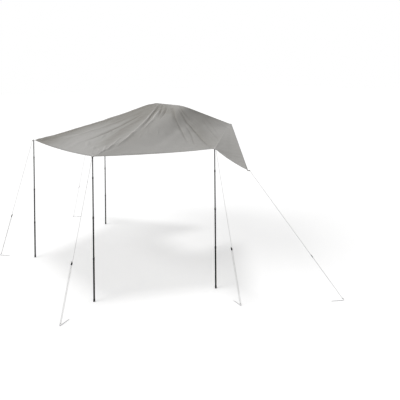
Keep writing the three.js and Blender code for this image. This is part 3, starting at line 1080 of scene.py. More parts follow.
class Guyline:
    """One guyline: its cord with both knots, its sliding tensioner and its wire peg."""

    def __init__(self, corner: Corner, peg: tuple[float, float], shape: LineShape) -> None:
        """Works out the line's own frame, as the part's source does.

        Args:
            corner: The corner that it holds.
            peg: The peg's place on the ground, in the frame of the inner poles.
            shape: The sizes that all lines share.
        """
        self.corner, self.shape = corner, shape
        ground = Vector((peg[0], peg[1] + TO_ROW, 0.0))
        top = corner.place
        self.inward = Vector((top.x - ground.x, top.y - ground.y, 0.0)).normalized()
        self.loop = ground + UP * (shape.wire / 2 + 2 * shape.hook_radius)
        self.lateral = UP.cross(self.inward)
        steep = (top.z - self.loop.z) / (top - self.loop).length
        reach = shape.tab_radius + shape.start_gap + shape.diameter / 2 * steep
        rim = top - self.inward * math.sqrt(reach**2 - shape.loop_radius**2)
        self.length = (rim - self.loop).length
        self.along = (rim - self.loop).normalized()
        self.depthways = self.along.cross(self.lateral)

    def at(self, side: float, distance: float) -> Vector:
        """A point beside the line.

        Args:
            side: -1 for the leg from the tab and 1 for the leg back up.
            distance: The way up from the peg.

        Returns:
            The point.
        """
        return self.loop + self.lateral * side * self.shape.loop_radius + self.along * distance

    @property
    def tensioner_place(self) -> float:
        """How far up from the peg the tensioner's lower end is."""
        return self.length * self.shape.tensioner_share

    @property
    def middle(self) -> float:
        """How far up from the peg the middle of the cord's turn is."""
        shape = self.shape
        return shape.loop_radius - ((shape.wire + shape.diameter) / 2 + shape.peg_clearance) / self.along.z

    @property
    def tail(self) -> float:
        """How far up from the peg the cord ends, just past the tensioner."""
        return self.tensioner_place + self.shape.tensioner[2] + self.shape.tail

    def route(self) -> list[Vector]:
        """The cord's middle: down from the tab, round the peg's wire and up to the leg back.

        Returns:
            The points, from the tab on.
        """
        shape, middle = self.shape, self.middle
        points = [self.at(-1, middle + (self.length - middle) * s) for s in (1, 0.8, 0.6, 0.4, 0.2)]
        points += [self.at(-1, middle + d) for d in reversed(shape.near_turn)]
        points += [self.at(-c, middle - shape.loop_radius * s) for c, s in half_turn(14)]
        points += [self.at(1, middle + d) for d in shape.near_turn]
        return points

    def return_leg(self, start: Vector) -> list[Vector]:
        """The middle of the leg that runs back up past the tensioner.

        Args:
            start: Where it leaves the peg.

        Returns:
            The points, up to the cord's tail end.
        """
        end = self.at(1, self.tail)
        return [start.lerp(end, step / 15) for step in range(16)]

    def peg_path(self) -> tuple[list[Vector], list[float]]:
        """The peg's wire from its point to the end of its hook, and its radius on the way.

        Returns:
            The points and the radius at each.
        """
        shape = self.shape
        base = Vector((self.loop.x, self.loop.y, shape.wire / 2))
        bend, hook, thick = -shape.loop_place, shape.hook_radius, shape.wire / 2
        wire = [(shape.shank + bend - back, 0.0, radius) for back, radius in shape.peg_point]
        wire += [(along, 0.0, thick) for along in shape.shank_rings]
        wire += [(bend - hook * s, hook * (1 - c), thick) for c, s in half_turn(20)]
        wire += [(bend + shape.tip - back, 2 * hook, radius) for back, radius in shape.hook_end]
        return [base + self.inward * x + UP * z for x, z, _ in wire], [radius for *_, radius in wire]

    def hitch_path(self) -> list[Vector]:
        """The loop that ties the line on: round the pole's spike, or through the tab's eyelet.

        Returns:
            The points, from the corner's knot round and back to it.
        """
        shape, side = self.shape, self.lateral
        rim, lift, wide = shape.hitch_rim, shape.hitch_lift, shape.hitch_half
        # Each point's ways outwards, sideways and up from the tab's middle
        if self.corner.on_pole:
            plan = [(rim, -0.0065, -0.006), (rim - 0.001, -0.0068, 0.001), (0.018, -0.0074, lift)]
            plan += [(0.008, -wide, lift)]
            plan += [(-wide * s, -wide * c, lift) for c, s in half_turn(8)]
            plan += [(0.008, wide, lift), (0.018, 0.0064, lift), (rim - 0.001, 0.0030, 0.001)]
            plan += [(rim, -0.0005, -0.006)]
        else:
            plan = [(rim, -0.0022, -0.006), (rim, -0.0022, 0.001), (0.019, -0.0022, 0.0042)]
            plan += [(0.010, -0.0021, 0.0050), (0.0045, -0.001, 0.0048), (0.0012, 0.0, 0.003)]
            plan += [(0.0, 0.0, 0.0), (0.0012, 0.0, -0.003), (0.0045, 0.001, -0.0048)]
            plan += [(0.010, 0.0021, -0.0050), (0.017, 0.0022, -0.0052)]
        places = [self.corner.place - self.inward * x + side * y + UP * z for x, y, z in plan]
        end = self.at(-1, self.length) - UP * shape.knot_drop
        return [end, *places, end + side * 0.001]

    def build(self, models: dict[str, bpy.types.Object], finishes: Finishes) -> None:
        """Makes the line's pieces.

        Args:
            models: The knot and the tensioner to copy.
            finishes: The awning's finishes.
        """
        name, shape, slider = self.corner.name, self.shape, f"{self.corner.name}_slider"
        basis = Matrix((self.lateral, self.depthways, self.along)).transposed().to_4x4()

        def knot(part: str, body: str, side: float, distance: float) -> bpy.types.Object:
            """One knot beside the line."""
            place = Matrix.Translation(self.at(side, distance)) @ basis
            return keep(copied(models["knot"], f"{name}_{part}", place), body, finishes.cord, Slot.CORD)

        loops = smooth_path(self.hitch_path(), 4)
        hitch = swept(f"{name}_hitch", loops, [shape.diameter / 2] * len(loops), 12)
        keep(hitch, "canopy", finishes.cord, Slot.CORD)
        route = self.route()
        cord = swept(f"{name}_cord", route, [shape.diameter / 2] * len(route), 16)
        keep(cord, "canopy", finishes.cord, Slot.CORD, f"{name}_guyline")
        corner_knot = knot("corner_knot", "canopy", -1, self.length - shape.knot_drop)
        peg = swept(f"{name}_wire_peg", *self.peg_path(), 16)
        keep(peg, "canopy", finishes.steel, Slot.STEEL, f"{name}_peg")
        self.declare(route)
        back = self.return_leg(route[-1])
        leg = swept(f"{name}_return_leg", back, [shape.diameter / 2] * len(back), 16)
        dress(leg, finishes.cord, Slot.CORD, f"{name}_guyline")
        tuple(self.at(1, self.tensioner_place))
        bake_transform(leg)
        middle = self.loop + self.along * (self.tensioner_place + shape.tensioner[2] / 2)
        place = Matrix.Translation(middle) @ basis
        tensioner = copied(models["tensioner"], f"{name}_line_tensioner", place)
        keep(tensioner, slider, finishes.plastic, Slot.PLASTIC, f"{name}_tensioner")
        stopper = knot("stopper_knot", slider, 1, self.tail + shape.stopper_lift)
        self.declare(back)

    def declare(
        self, path: list[Vector]
    ) -> None:
        """Adds up the length of a path, rounded, and keeps nothing.

        Args:
            path: The points of the path, from where it starts.
        """
        round(sum((b - a).length for a, b in zip(path, path[1:])), 3)


def half_turn(steps: int) -> list[tuple[float, float]]:
    """The cosine and sine at each step through half a turn."""
    return [(math.cos(math.pi * i / steps), math.sin(math.pi * i / steps)) for i in range(steps + 1)]


def smooth_path(points: Sequence[Vector], steps: int) -> list[Vector]:
    """A smooth curve through points, as a list of finer points.

    Args:
        points: The points that it goes through.
        steps: How many steps lie between two points.

    Returns:
        The finer points.
    """
    padded = [points[0] * 2 - points[1], *points, points[-1] * 2 - points[-2]]
    fine = []
    for a, b, c, d in zip(padded, padded[1:], padded[2:], padded[3:]):
        for step in range(steps):
            t = step / steps
            square, cube = 2 * a - 5 * b + 4 * c - d, 3 * b - a - 3 * c + d
            fine.append(0.5 * (2 * b + (c - a) * t + square * t**2 + cube * t**3))
    return [*fine, points[-1]]


PEGS = {
    "rear_outer": (-1.439, -2.251),
    "front_outer": (1.546, -2.260),
    "front_inner": (2.546, -0.056),
    "rear_wing": (-2.830, -0.352),
    "front_wing": (3.310, 1.195),
}


@dataclass(frozen=True)
class Guylines:
    """The five guylines, with the knot and tensioner that they share."""

    shape: LineShape

    def knot(self) -> bpy.types.Object:
        """A tight overhand knot about the origin.

        Returns:
            The knot.
        """
        size, depth, count = self.shape.knot_size, self.shape.knot_depth, 48
        points = []
        for step in range(count):
            t = 2 * math.pi * step / count
            x, y = math.sin(t) + 2 * math.sin(2 * t), math.cos(t) - 2 * math.cos(2 * t)
            points.append(Vector((x * size, y * size, -math.sin(3 * t) * size * depth)))
        return swept("knot", points, [self.shape.diameter / 2] * count, 10, closed=True)

    def tensioner(self) -> bpy.types.Object:
        """A two-channel line tensioner about the origin, with grip grooves and rounded edges.

        Returns:
            The tensioner.
        """
        shape = self.shape
        width, _, length = shape.tensioner
        bench = Bench.block("tensioner", shape.tensioner)
        heights = [(step - 2.5) * shape.groove for step in range(6)]
        for height in heights:
            bench.cut((0.0, 0.0, height), (0.0, 0.0, 1.0))
        bench.pick_edges(lambda middle, angle: angle > 1.0 and abs(abs(middle.x) - width / 2) < NEAR)
        bpy.ops.mesh.bevel(offset=shape.tensioner_corner, segments=4, affect="EDGES")
        for low, high in zip(heights[::2], heights[1::2]):
            bench.pick_faces(lambda middle, normal: abs(normal.z) < 0.5 and low < middle.z < high)
            bench.push(-shape.groove_depth)
        bench.round_sharp(shape.tensioner_rounding, 2)
        body = bench.done()
        for side in (-1, 1):
            radius = shape.diameter / 2 + shape.channel_clearance
            drill = Bench.cylinder("cutter", 24, radius, -length, length).done()
            drill.data.transform(Matrix.Translation((side * shape.loop_radius, 0.0, 0.0)))
            apply_modifier(body, "BOOLEAN", operation="DIFFERENCE", object=drill, solver="EXACT")
            discard(drill)
        bpy.ops.object.shade_smooth_by_angle(angle=SMOOTH_ANGLE)
        return body

    def build(self, finishes: Finishes) -> None:
        """Makes all five lines.

        Args:
            finishes: The awning's finishes.
        """
        models = {"knot": self.knot(), "tensioner": self.tensioner()}
        for name, peg in PEGS.items():
            Guyline(CORNER[name], peg, self.shape).build(models, finishes)
        discard(*models.values())


def apply_modifier(obj: bpy.types.Object, kind: str, **settings: Any) -> None:
    """Adds a modifier to an object and applies it.

    Args:
        obj: The object.
        kind: The modifier's type.
        settings: Its settings.
    """
    bpy.ops.object.select_all(action="DESELECT")
    bpy.context.view_layer.objects.active = obj
    obj.select_set(True)
    modifier = obj.modifiers.new(kind.lower(), kind)
    for key, value in settings.items():
        setattr(modifier, key, value)
    bpy.ops.object.modifier_apply(modifier=modifier.name)


# Canopy


@dataclass
class UpperEdge:
    """The fabric's upper edge: one smooth line round the three sides of its notch."""

    half: float = 0.540
    front_y: float = 0.366
    front_z: float = 2.656
    rounding: float = 0.190
    side_y: float = 1.420
    side_z: float = 2.263
    overrun: float = 0.060
    overrun_drop: float = 0.012

    def __post_init__(self) -> None:
        """Draws the line as the part's source does, and measures along it."""
        front_y, front_z, bend = self.front_y, self.front_z, self.rounding
        slope = (front_z - self.side_z) / (self.side_y - front_y)

        def side(sign: float) -> tuple[np.ndarray, ...]:
            """The points of one side, from its end to the front.

            Args:
                sign: -1 for the rear side and 1 for the front side.

            Returns:
                The side's end, where it turns level, and the three points that its bend is drawn from.
            """
            x = sign * self.half
            return (
                np.array((x, self.side_y + self.overrun, self.side_z - self.overrun_drop)),
                np.array((x, self.side_y, self.side_z)),
                np.array((x, front_y + bend, front_z - slope * bend)),
                np.array((x, front_y, front_z)),
                np.array((sign * (self.half - bend), front_y, front_z)),
            )

        share = np.linspace(0, 1, 65)[:, None]
        rear, fore = side(-1.0), side(1.0)
        bends = [
            (1 - share) ** 2 * a + 2 * share * (1 - share) * b + share**2 * c
            for a, b, c in (rear[2:], fore[:1:-1])
        ]
        points = np.concatenate([rear[:2], *bends, fore[1::-1]])
        self.points = points + (0.0, TO_ROW, 0.0)
        steps = np.linalg.norm(np.diff(points, axis=0), axis=1)
        self.length = float(steps.sum())
        self.shares = np.concatenate([[0], np.cumsum(steps)]) / self.length

    def at(self, share: np.ndarray) -> np.ndarray:
        """The places at some shares of the line."""
        return np.stack([np.interp(share, self.shares, self.points[:, k]) for k in range(3)], -1)


@dataclass(frozen=True)
class Panel:
    """One fabric panel between two seams."""

    name: str
    columns: int
    hem_sag: float
    folds: int
    sags: tuple[float, float]
    hem_drop: float


@dataclass(frozen=True)
class Crease:
    """One crease in the cloth, along points seen from above: up where its height is above 0."""

    height: float
    width: float
    points: tuple[tuple[float, float], ...]
    taper: float = 0.7
    fall: float = 1.5
    blunt: float = 0.06
    level: float = 0.245
    ends: float = 0.05

    def relief(self, plan: np.ndarray) -> np.ndarray:
        """How far the crease lifts each point.

        Args:
            plan: The points' X and Y.

        Returns:
            The lift of each point.
        """
        line = np.array([tuple(p) for p in smooth_path([Vector(point) for point in self.points], 5)])
        nearest = np.full(plan.shape[:-1], np.inf)
        share = np.zeros(plan.shape[:-1])
        for index, (start, end) in enumerate(zip(line, line[1:])):
            way = end - start
            run = np.clip((plan - start) @ way / (way @ way), 0, 1)
            off = np.linalg.norm(plan - start - run[..., None] * way, axis=-1)
            share = np.where(off < nearest, (index + run) / (len(line) - 1), share)
            nearest = np.minimum(off, nearest)
        taper = np.sin(math.pi * (self.ends + (1 - 2 * self.ends) * share)) ** self.taper
        crest = np.exp(self.fall * (self.level - np.sqrt((nearest / self.width) ** 2 + self.blunt)))
        return self.height * taper * crest

    def mirrored(self) -> "Crease":
        """The same crease on the other side of the middle."""
        return Crease(self.height, self.width, tuple((-x, y) for x, y in self.points))


CREASES = (
    # The folds that run down from the upper edge to the front outer corner
    Crease(0.034, 0.030, ((-0.13, 0.41), (0.35, -0.07), (0.73, -0.52), (0.88, -0.71), (1.05, -1.01))),
    Crease(0.030, 0.032, ((0.10, 0.35), (0.36, 0.09), (0.53, -0.07), (0.78, -0.39))),
    Crease(0.024, 0.022, ((0.75, -0.80), (0.94, -1.00), (1.11, -1.20))),
    Crease(0.010, 0.014, ((0.27, 0.31), (0.59, -0.01))),
    Crease(-0.020, 0.018, ((-0.11, 0.44), (0.35, -0.03), (0.75, -0.45))),
    Crease(-0.016, 0.015, ((-0.05, 0.47), (0.58, -0.01))),
    Crease(-0.016, 0.015, ((0.12, 0.45), (0.40, 0.24), (0.63, 0.02))),
    # The pulled lines of the front panel
    Crease(-0.008, 0.015, ((0.22, 0.47), (0.57, 0.29), (0.81, 0.18))),
    Crease(-0.016, 0.018, ((0.37, 0.42), (0.70, 0.26), (0.91, 0.22), (1.12, 0.15), (1.37, 0.06))),
    Crease(-0.011, 0.016, ((0.86, 0.36), (1.07, 0.32), (1.32, 0.19), (1.51, 0.09))),
    Crease(-0.020, 0.019, ((0.55, 0.44), (0.75, 0.44), (0.92, 0.46), (1.20, 0.40), (1.73, 0.22))),
    Crease(-0.013, 0.016, ((0.42, 0.51), (0.59, 0.50), (0.69, 0.54), (0.83, 0.60))),
    Crease(-0.008, 0.014, ((0.66, 0.84), (0.90, 0.83), (1.29, 0.69), (1.42, 0.63))),
    Crease(-0.007, 0.014, ((0.62, 0.97), (0.85, 0.97), (1.15, 0.85))),
    Crease(-0.006, 0.014, ((1.27, 0.59), (1.52, 0.49))),
    # The long soft folds of the outer panel
    Crease(-0.020, 0.028, ((0.14, -1.10), (0.15, -0.92), (0.12, -0.64), (0.11, -0.48), (-0.03, 0.00))),
    Crease(0.012, 0.045, ((-0.44, -1.31), (-0.34, -0.94), (-0.24, -0.60), (-0.20, -0.23))),
    Crease(-0.007, 0.024, ((-0.63, -1.13), (-0.43, -0.99), (-0.39, -0.71))),
    Crease(0.008, 0.035, ((0.40, -0.78), (0.27, -0.47), (0.17, -0.17))),
    Crease(-0.008, 0.026, ((-0.88, -1.60), (-0.74, -1.45), (-0.62, -1.28))),
    # Short wrinkles near the front outer corner, and ripples beside the seam
    Crease(0.015, 0.017, ((0.20, -0.82), (0.36, -0.94))),
    Crease(0.019, 0.018, ((0.86, -1.11), (1.13, -1.27))),
    Crease(0.017, 0.018, ((0.86, -1.23), (1.14, -1.32))),
    Crease(0.017, 0.018, ((0.23, -1.14), (0.44, -1.21))),
    Crease(0.014, 0.017, ((0.58, -1.19), (0.81, -1.28))),
    Crease(0.011, 0.014, ((0.21, -0.72), (0.18, -0.67))),
    Crease(0.005, 0.014, ((0.80, -0.34), (0.94, -0.43))),
    Crease(0.005, 0.014, ((0.88, -0.19), (1.02, -0.28))),
    Crease(0.005, 0.014, ((0.91, -0.52), (1.01, -0.61))),
)

# The rear panel's lines, which mirror some of the front panel's, and its soft folds
REAR_CREASES = (
    *(crease.mirrored() for crease in CREASES[9:11] + CREASES[12:15]),
    Crease(0.012, 0.045, ((-0.80, 0.38), (-1.04, -0.08), (-1.20, -0.56), (-1.24, -0.98))),
    Crease(-0.012, 0.022, ((-0.88, 0.30), (-1.20, -0.02), (-1.42, -0.30))),
    Crease(0.010, 0.040, ((-1.02, 0.62), (-1.40, 0.34), (-1.72, 0.14))),
)

ROLLS = (
    # The full roll of cloth behind the rear outer seam
    Crease(0.017, 0.075, ((-0.42, 0.46), (-0.60, -0.10), (-0.82, -0.80), (-0.96, -1.30), (-0.985, -1.56))),
    Crease(0.018, 0.090, ((-0.36, 0.50), (-0.46, 0.30), (-0.54, 0.05))),
    Crease(0.020, 0.050, ((-0.995, -1.64), (-0.95, -1.53))),
)

# Painted shade on the cloth, as strokes seen from above: the first number is the strength
PAINTED_SHADE_STROKES = (
    Crease(2.2, 0.14, ((-0.31, 0.50), (-0.48, -0.10), (-0.69, -0.80), (-0.83, -1.30), (-0.93, -1.56))),
    Crease(1.7, 0.25, ((-0.32, 0.50), (-0.20, 0.15), (-0.28, -0.15), (-0.27, -0.50))),
    Crease(1.5, 0.17, ((-0.05, 0.36), (0.14, -0.02), (0.33, -0.42), (0.56, -0.80), (0.80, -1.12))),
    Crease(1.9, 0.16, ((-0.30, 0.42), (0.02, 0.33), (0.32, 0.26), (0.56, 0.30))),
    Crease(1.8, 0.24, ((-1.00, -1.66), (-0.75, -1.55), (-0.48, -1.45))),
    Crease(0.9, 0.20, ((-0.26, 0.13), (0.08, 0.10))),
    Crease(0.3, 0.15, ((0.45, 0.22), (0.72, -0.25), (0.96, -0.66), (1.16, -1.10))),
    Crease(0.45, 0.20, ((0.62, 1.00), (0.82, 0.70), (1.15, 0.50), (1.42, 0.38), (1.80, 0.16))),
    Crease(0.5, 0.16, ((0.50, 0.62), (0.56, 1.00), (0.60, 1.50))),
    Crease(0.3, 0.35, ((0.95, 1.25), (1.60, 0.75), (2.30, 0.35))),
    # Narrow painted shade along the outer hem and the front hem
    Crease(1.4, 0.020, ((-0.97, -1.62), (-0.62, -1.60), (-0.22, -1.56))),
    Crease(1.8, 0.024, ((1.21, -1.44), (1.37, -1.06), (1.53, -0.65), (1.72, -0.24), (1.90, 0.14))),
)


def bow(share: np.ndarray) -> np.ndarray:
    """0 at both ends and 1 in the middle."""
    return 4 * share * (1 - share)


@dataclass(frozen=True)
class Canopy:
    """The canopy: one continuous sheet of five panels, with felled seams, hems and folds."""

    edge: UpperEdge
    seam_shares: tuple[float, ...] = (0.0, 0.018, 0.405, 0.595, 0.982, 1.0)
    # Each panel's name, columns, hollow of its hem, folds, sag at both seams and drop of its hem
    panels: tuple[Panel, ...] = (
        Panel("rear_wing", 20, 0.020, 2, (0.0, 0.012), 0.028),
        Panel("rear", 80, 0.030, 5, (0.012, 0.020), 0.028),
        Panel("outer", 110, 0.008, 3, (0.020, 0.032), 0.038),
        Panel("front", 160, 0.030, 5, (0.032, 0.012), 0.028),
        Panel("front_wing", 28, 0.020, 2, (0.012, 0.0), 0.028),
    )
    inner_rows: int = 116
    fold_depth: float = 0.003
    cloth: float = 0.0008
    felled: float = 0.0013
    hem_width: float = 0.028
    strip_width: float = 0.034
    seam_half: float = 0.0058
    slope: float = 0.0016
    lip: float = 0.0016
    top_lip: float = 0.0012
    lip_share: float = 0.35
    widest_step: float = 0.08
    pucker_reach: float = 0.16
    pole_pucker: float = 0.0042
    wing_pucker: float = 0.0024
    # The small folds at a corner: how many a turn, their shift from corner to corner, their share
    fans: tuple[Point, ...] = ((17, 1, 0.6), (29, 2.1, 0.4))
    ripple_seed: int = 7
    ripple_count: int = 26
    ripple_waves: tuple[float, float] = (1.6, 7.5)
    ripple_depth: float = 0.0018
    hem_hold: float = 0.10
    top_hold: float = 0.06
    strip_hold: float = 0.03
    held_share: float = 0.25
    # How the creases set a painted highlight on their crests and painted shade in their hollows
    crest_start: float = 0.010
    crest_span: float = 0.014
    hollow_span: float = 0.016
    # How strong the painted shade strokes are
    soil_strength: float = 1.3

    def hem_corner(self, index: int) -> np.ndarray:
        """The fabric's own corner, where it meets the tab."""
        corner = CORNERS[index]
        return np.array(corner.place + corner.inward(self.edge) * corner.reach)

    def base(self, index: int, along: np.ndarray, down: np.ndarray) -> np.ndarray:
        """The middle surface of one panel, as the part's source has it.

        Args:
            index: Which panel.
            along: Shares from its first seam to its second.
            down: Shares from the upper edge to the hem.

        Returns:
            The places.
        """
        panel = self.panels[index]
        low, high = self.seam_shares[index : index + 2]
        top = self.edge.at(low + (high - low) * along)
        along, down = along[..., None], down[..., None]
        hem = self.hem_corner(index) * (1 - along) + self.hem_corner(index + 1) * along
        inward = top - hem
        inward /= np.linalg.norm(inward, axis=-1, keepdims=True)
        hem = hem + inward * panel.hem_sag * bow(along)
        place = top + (hem - top) * down
        sag = panel.sags[0] + (panel.sags[1] - panel.sags[0]) * along
        wave = np.sin(math.pi * along) ** 2 * np.cos(2 * math.pi * panel.folds * along)
        drop = (sag + self.fold_depth * wave) * bow(down) + panel.hem_drop * bow(along) * down**2
        place[..., 2] -= drop[..., 0]
        return place

    def down_shares(self, length: float) -> np.ndarray:
        """The rows of one column: close together at the strip and at the hem.

        Args:
            length: The column's length.

        Returns:
            The share of the length at each row.
        """
        last = length - self.hem_width
        inner = np.linspace(self.strip_width + self.slope, last - self.slope, self.inner_rows)
        rows = [0.0, self.top_lip, self.strip_width, *inner, last, length - self.lip, length]
        return np.array(rows) / length

    def grid(self, index: int) -> tuple[dict[str, np.ndarray], float]:
        """The points of one panel, with rows and columns set close along its seams and hem.

        Args:
            index: Which panel.

        Returns:
            The points' places, their metres from the nearer seam, from the hem, from the upper edge
            and along the hem, and then the hem's length.
        """
        count, samples = self.panels[index].columns + 1, 60
        nominal = np.linspace(0, 1, samples)
        start, end = (self.base(index, np.full(samples, side), nominal) for side in (0.0, 1.0))
        width = np.linalg.norm(start - end, axis=1)
        cols = np.linspace(0, 1, count)
        tops, hems = (self.base(index, cols, np.full(count, side)) for side in (0.0, 1.0))
        length = np.linalg.norm(tops - hems, axis=1)
        down = np.array([self.down_shares(long) for long in length])
        wide = np.interp(down, nominal, width)
        free = index in (0, len(self.panels) - 1)
        steps = (self.lip, self.hem_width) if free else (self.seam_half, self.seam_half + self.slope)
        near = [np.minimum(step / wide, self.widest_step * (k + 1)) for k, step in enumerate(steps)]
        share = np.clip((np.arange(count) - 2) / (count - 5), 0, 1)[:, None]
        along = near[1] + (1 - 2 * near[1]) * share
        along[0], along[1], along[-2], along[-1] = 0.0, near[0][1], 1 - near[0][-2], 1.0
        sides = [along * wide, (1 - along) * wide]
        hem, seam = (1 - down) * length[:, None], np.minimum(*sides)
        if free:
            loose, sewn = sides if index == 0 else reversed(sides)
            hem, seam = np.minimum(hem, loose), sewn
        hem_long = float(np.linalg.norm(np.diff(hems, axis=0), axis=1).sum())
        place = self.base(index, along, down)
        values = {"place": place, "seam": seam, "hem": hem, "top": down * length[:, None]}
        return {**values, "run": along * hem_long}, hem_long

    def whole(self) -> tuple[dict[str, np.ndarray], float]:
        """The points of all panels in one grid, as grid gives them, and the whole hem's length.

        Returns:
            The points' values and the hem's length.
        """
        parts, run = [], 0.0
        for index in range(len(self.panels)):
            part, hem_long = self.grid(index)
            part["run"] += run
            run += hem_long
            parts.append({key: values[1 if index else 0 :] for key, values in part.items()})
        return {key: np.concatenate([part[key] for part in parts]) for key in parts[0]}, run

    def folds(self, plan: np.ndarray) -> np.ndarray:
        """How far the creases lift each point, from its X and Y."""
        return np.sum([crease.relief(plan) for crease in CREASES + REAR_CREASES], axis=0)

    def puckers(self, plan: np.ndarray) -> np.ndarray:
        """The small folds that fan out from each corner.

        Args:
            plan: The points' X and Y.

        Returns:
            The lift of each point.
        """
        lift = np.zeros(plan.shape[:-1])
        for index, corner in enumerate(CORNERS):
            offset = plan - self.hem_corner(index)[:2]
            far = np.linalg.norm(offset, axis=-1) / self.pucker_reach
            turn = np.arctan2(offset[..., 1], offset[..., 0])
            waves = [np.cos(count * turn + shift * index) * part for count, shift, part in self.fans]
            depth = self.pole_pucker if corner.on_pole else self.wing_pucker
            lift += depth * sum(waves) * far * np.exp(1 - far)
        return lift

    def ripples(self, plan: np.ndarray) -> np.ndarray:
        """Soft waves all over the cloth, in ways and lengths that are drawn at random.

        Args:
            plan: The points' X and Y.

        Returns:
            The lift of each point.
        """
        rng = np.random.default_rng(self.ripple_seed)
        lift = np.zeros(plan.shape[:-1])
        for _ in range(self.ripple_count):
            angle = rng.uniform(0, math.pi)
            waves = rng.uniform(*self.ripple_waves)
            way = np.array((math.cos(angle), math.sin(angle))) * waves
            phase = 2 * math.pi * (plan @ way) + rng.uniform(0, 6.28)
            lift += self.ripple_depth / waves * np.sin(phase)
        return lift

    def relief(self, place: np.ndarray, hem: np.ndarray, top: np.ndarray) -> np.ndarray:
        """How far the folds, creases and small wrinkles lift the cloth.

        Args:
            place: The points of the cloth.
            hem: Metres from the hem.
            top: Metres from the upper edge.

        Returns:
            The lift along the cloth's normal.
        """
        plan = place[..., :2]
        lift = self.puckers(plan) + self.ripples(plan) + self.folds(plan)
        lift += sum(roll.relief(plan) for roll in ROLLS)
        free = np.clip(np.minimum(hem / self.hem_hold, top / self.top_hold), 0, 1)
        share = self.held_share + (1 - self.held_share) * free * free * (3 - 2 * free)
        return lift * share * np.clip(top / self.strip_hold, 0, 1)

    def half_thickness(self, seam: np.ndarray, hem: np.ndarray, top: np.ndarray) -> np.ndarray:
        """Half the cloth's thickness, which is more along its seams, hem and strip.

        Args:
            seam: Metres from the nearer seam.
            hem: Metres from the hem.
            top: Metres from the upper edge.

        Returns:
            The thickness on either side of the cloth's middle.
        """
        bands = ((self.seam_half, seam), (self.hem_width, hem), (self.strip_width, top))
        doubled = [np.clip((width + self.slope - away) / self.slope, 0, 1) for width, away in bands]
        half = (self.cloth + self.felled * np.max(doubled, axis=0)) / 2
        return half * np.where(np.minimum(hem, top) < NEAR, self.lip_share, 1.0)

    def build(self, finishes: Finishes, pieces: Sequence[bpy.types.Object]) -> bpy.types.Object:
        """Makes the canopy.

        Args:
            finishes: The awning's finishes.
            pieces: The pieces that are sewn to it; not used.

        Returns:
            The canopy.
        """
        whole, hem_long = self.whole()
        place, seam, hem, top = (whole[key] for key in ("place", "seam", "hem", "top"))
        normal = np.cross(np.gradient(place, axis=0), np.gradient(place, axis=1))
        normal /= np.linalg.norm(normal, axis=-1, keepdims=True)
        normal *= np.sign(normal[..., 2:])
        # The fold attribute: a painted highlight on crease crests, painted shade in their hollows
        fold = self.folds(place[..., :2])
        crest = np.clip((fold - self.crest_start) / self.crest_span, 0, 1)
        whole["fold"] = crest + np.clip(fold / self.hollow_span, -1, 0)
        # Painted shade strokes, kept as a point attribute for the cloth
        soil = sum(patch.relief(place[..., :2]) for patch in PAINTED_SHADE_STROKES)
        whole["soil"] = 1 - np.exp(-self.soil_strength * soil)
        place = place + normal * self.relief(place, hem, top)[..., None]
        half = self.half_thickness(seam, hem, top)
        upper, lower = (place + normal * (half * side)[..., None] for side in (1, -1))
        obj = mesh_from("canopy_sheet", np.stack([upper, lower]), shell_faces(*place.shape[:2]))
        values = np.stack([whole["run"], top], -1).reshape(-1, 2)
        lay_uv(obj, "cloth", np.concatenate([values, values])[corner_points(obj)])
        for key in ("seam", "hem", "fold", "soil"):
            data = obj.data.attributes.new(key, "FLOAT", "POINT").data
            data.foreach_set("value", np.tile(whole[key].ravel(), 2).astype(np.float32))
        keep(obj, "canopy", finishes.cloth, Slot.FABRIC, *[f"{panel.name}_panel" for panel in self.panels])
        return obj


def shell_faces(across: int, down: int) -> list[tuple[int, ...]]:
    """The faces of a closed sheet of two layers of points.

    Args:
        across: How many columns each layer has.
        down: How many rows each layer has.

    Returns:
        The faces, which point outwards.
    """
    layer = across * down
    faces = []

    def at(i: int, j: int, k: int) -> int:
        """The index of a point."""
        return k * layer + i * down + j

    for i in range(across - 1):
        for j in range(down - 1):
            quad = [(i, j), (i, j + 1), (i + 1, j + 1), (i + 1, j)]
            faces.append(tuple(at(*p, 0) for p in quad))
            faces.append(tuple(at(*p, 1) for p in reversed(quad)))
    border = [(i, 0) for i in range(across)] + [(across - 1, j) for j in range(1, down)]
    border += [(i, down - 1) for i in range(across - 2, -1, -1)] + [(0, j) for j in range(down - 2, 0, -1)]
    for first, second in zip(border, border[1:] + border[:1]):
        faces.append((at(*first, 0), at(*second, 0), at(*second, 1), at(*first, 1)))
    return faces


@dataclass(frozen=True)
class EdgeStrip:
    """The hook-and-loop strip that stands just inside the fabric's upper edge."""

    edge: UpperEdge
    height: float = 0.032
    thickness: float = 0.0024
    seat_gap: float = 0.00035
    above: float = 0.0015
    columns: int = 240
    selvedge: float = 0.0035
    selvedge_slope: float = 0.0005
    selvedge_share: float = 0.55
    lip: float = 0.0004
    lip_share: float = 0.6

    def build(self, finishes: Finishes) -> bpy.types.Object:
        """Makes the strip.

        Args:
            finishes: The awning's finishes.

        Returns:
            The strip.
        """
        share = np.linspace(0, 1, self.columns)
        middle = self.edge.at(share)
        way = np.gradient(middle, axis=0)
        way[:, 2] = 0
        way /= np.linalg.norm(way, axis=1)[:, None]
        side = np.cross((0.0, 0.0, 1.0), way)
        thick = self.thickness / 2
        thin = thick * self.selvedge_share
        rows = (0.0, self.lip, self.selvedge, self.selvedge + self.selvedge_slope)
        rows = (*rows, *[self.height - row for row in reversed(rows)])
        halves = (thin * self.lip_share, thin, thin, thick)
        halves = (*halves, *reversed(halves))
        centre = middle + side * (thick + self.seat_gap)
        layers = []
        for sign in (-1, 1):
            lines = [(side * sign * half, (0.0, 0.0, self.above - row)) for row, half in zip(rows, halves)]
            layers.append(np.stack([centre + out + down for out, down in lines], axis=1))
        obj = mesh_from("hook_strip", np.stack(layers), shell_faces(self.columns, len(rows)))
        run = share * self.edge.length
        values = np.stack(np.meshgrid(run, rows, indexing="ij"), -1).reshape(-1, 2)
        lay_uv(obj, "tape", np.concatenate([values, values])[corner_points(obj)])
        return keep(obj, "canopy", finishes.hook_tape, Slot.STRIP, "tent_edge_strip")


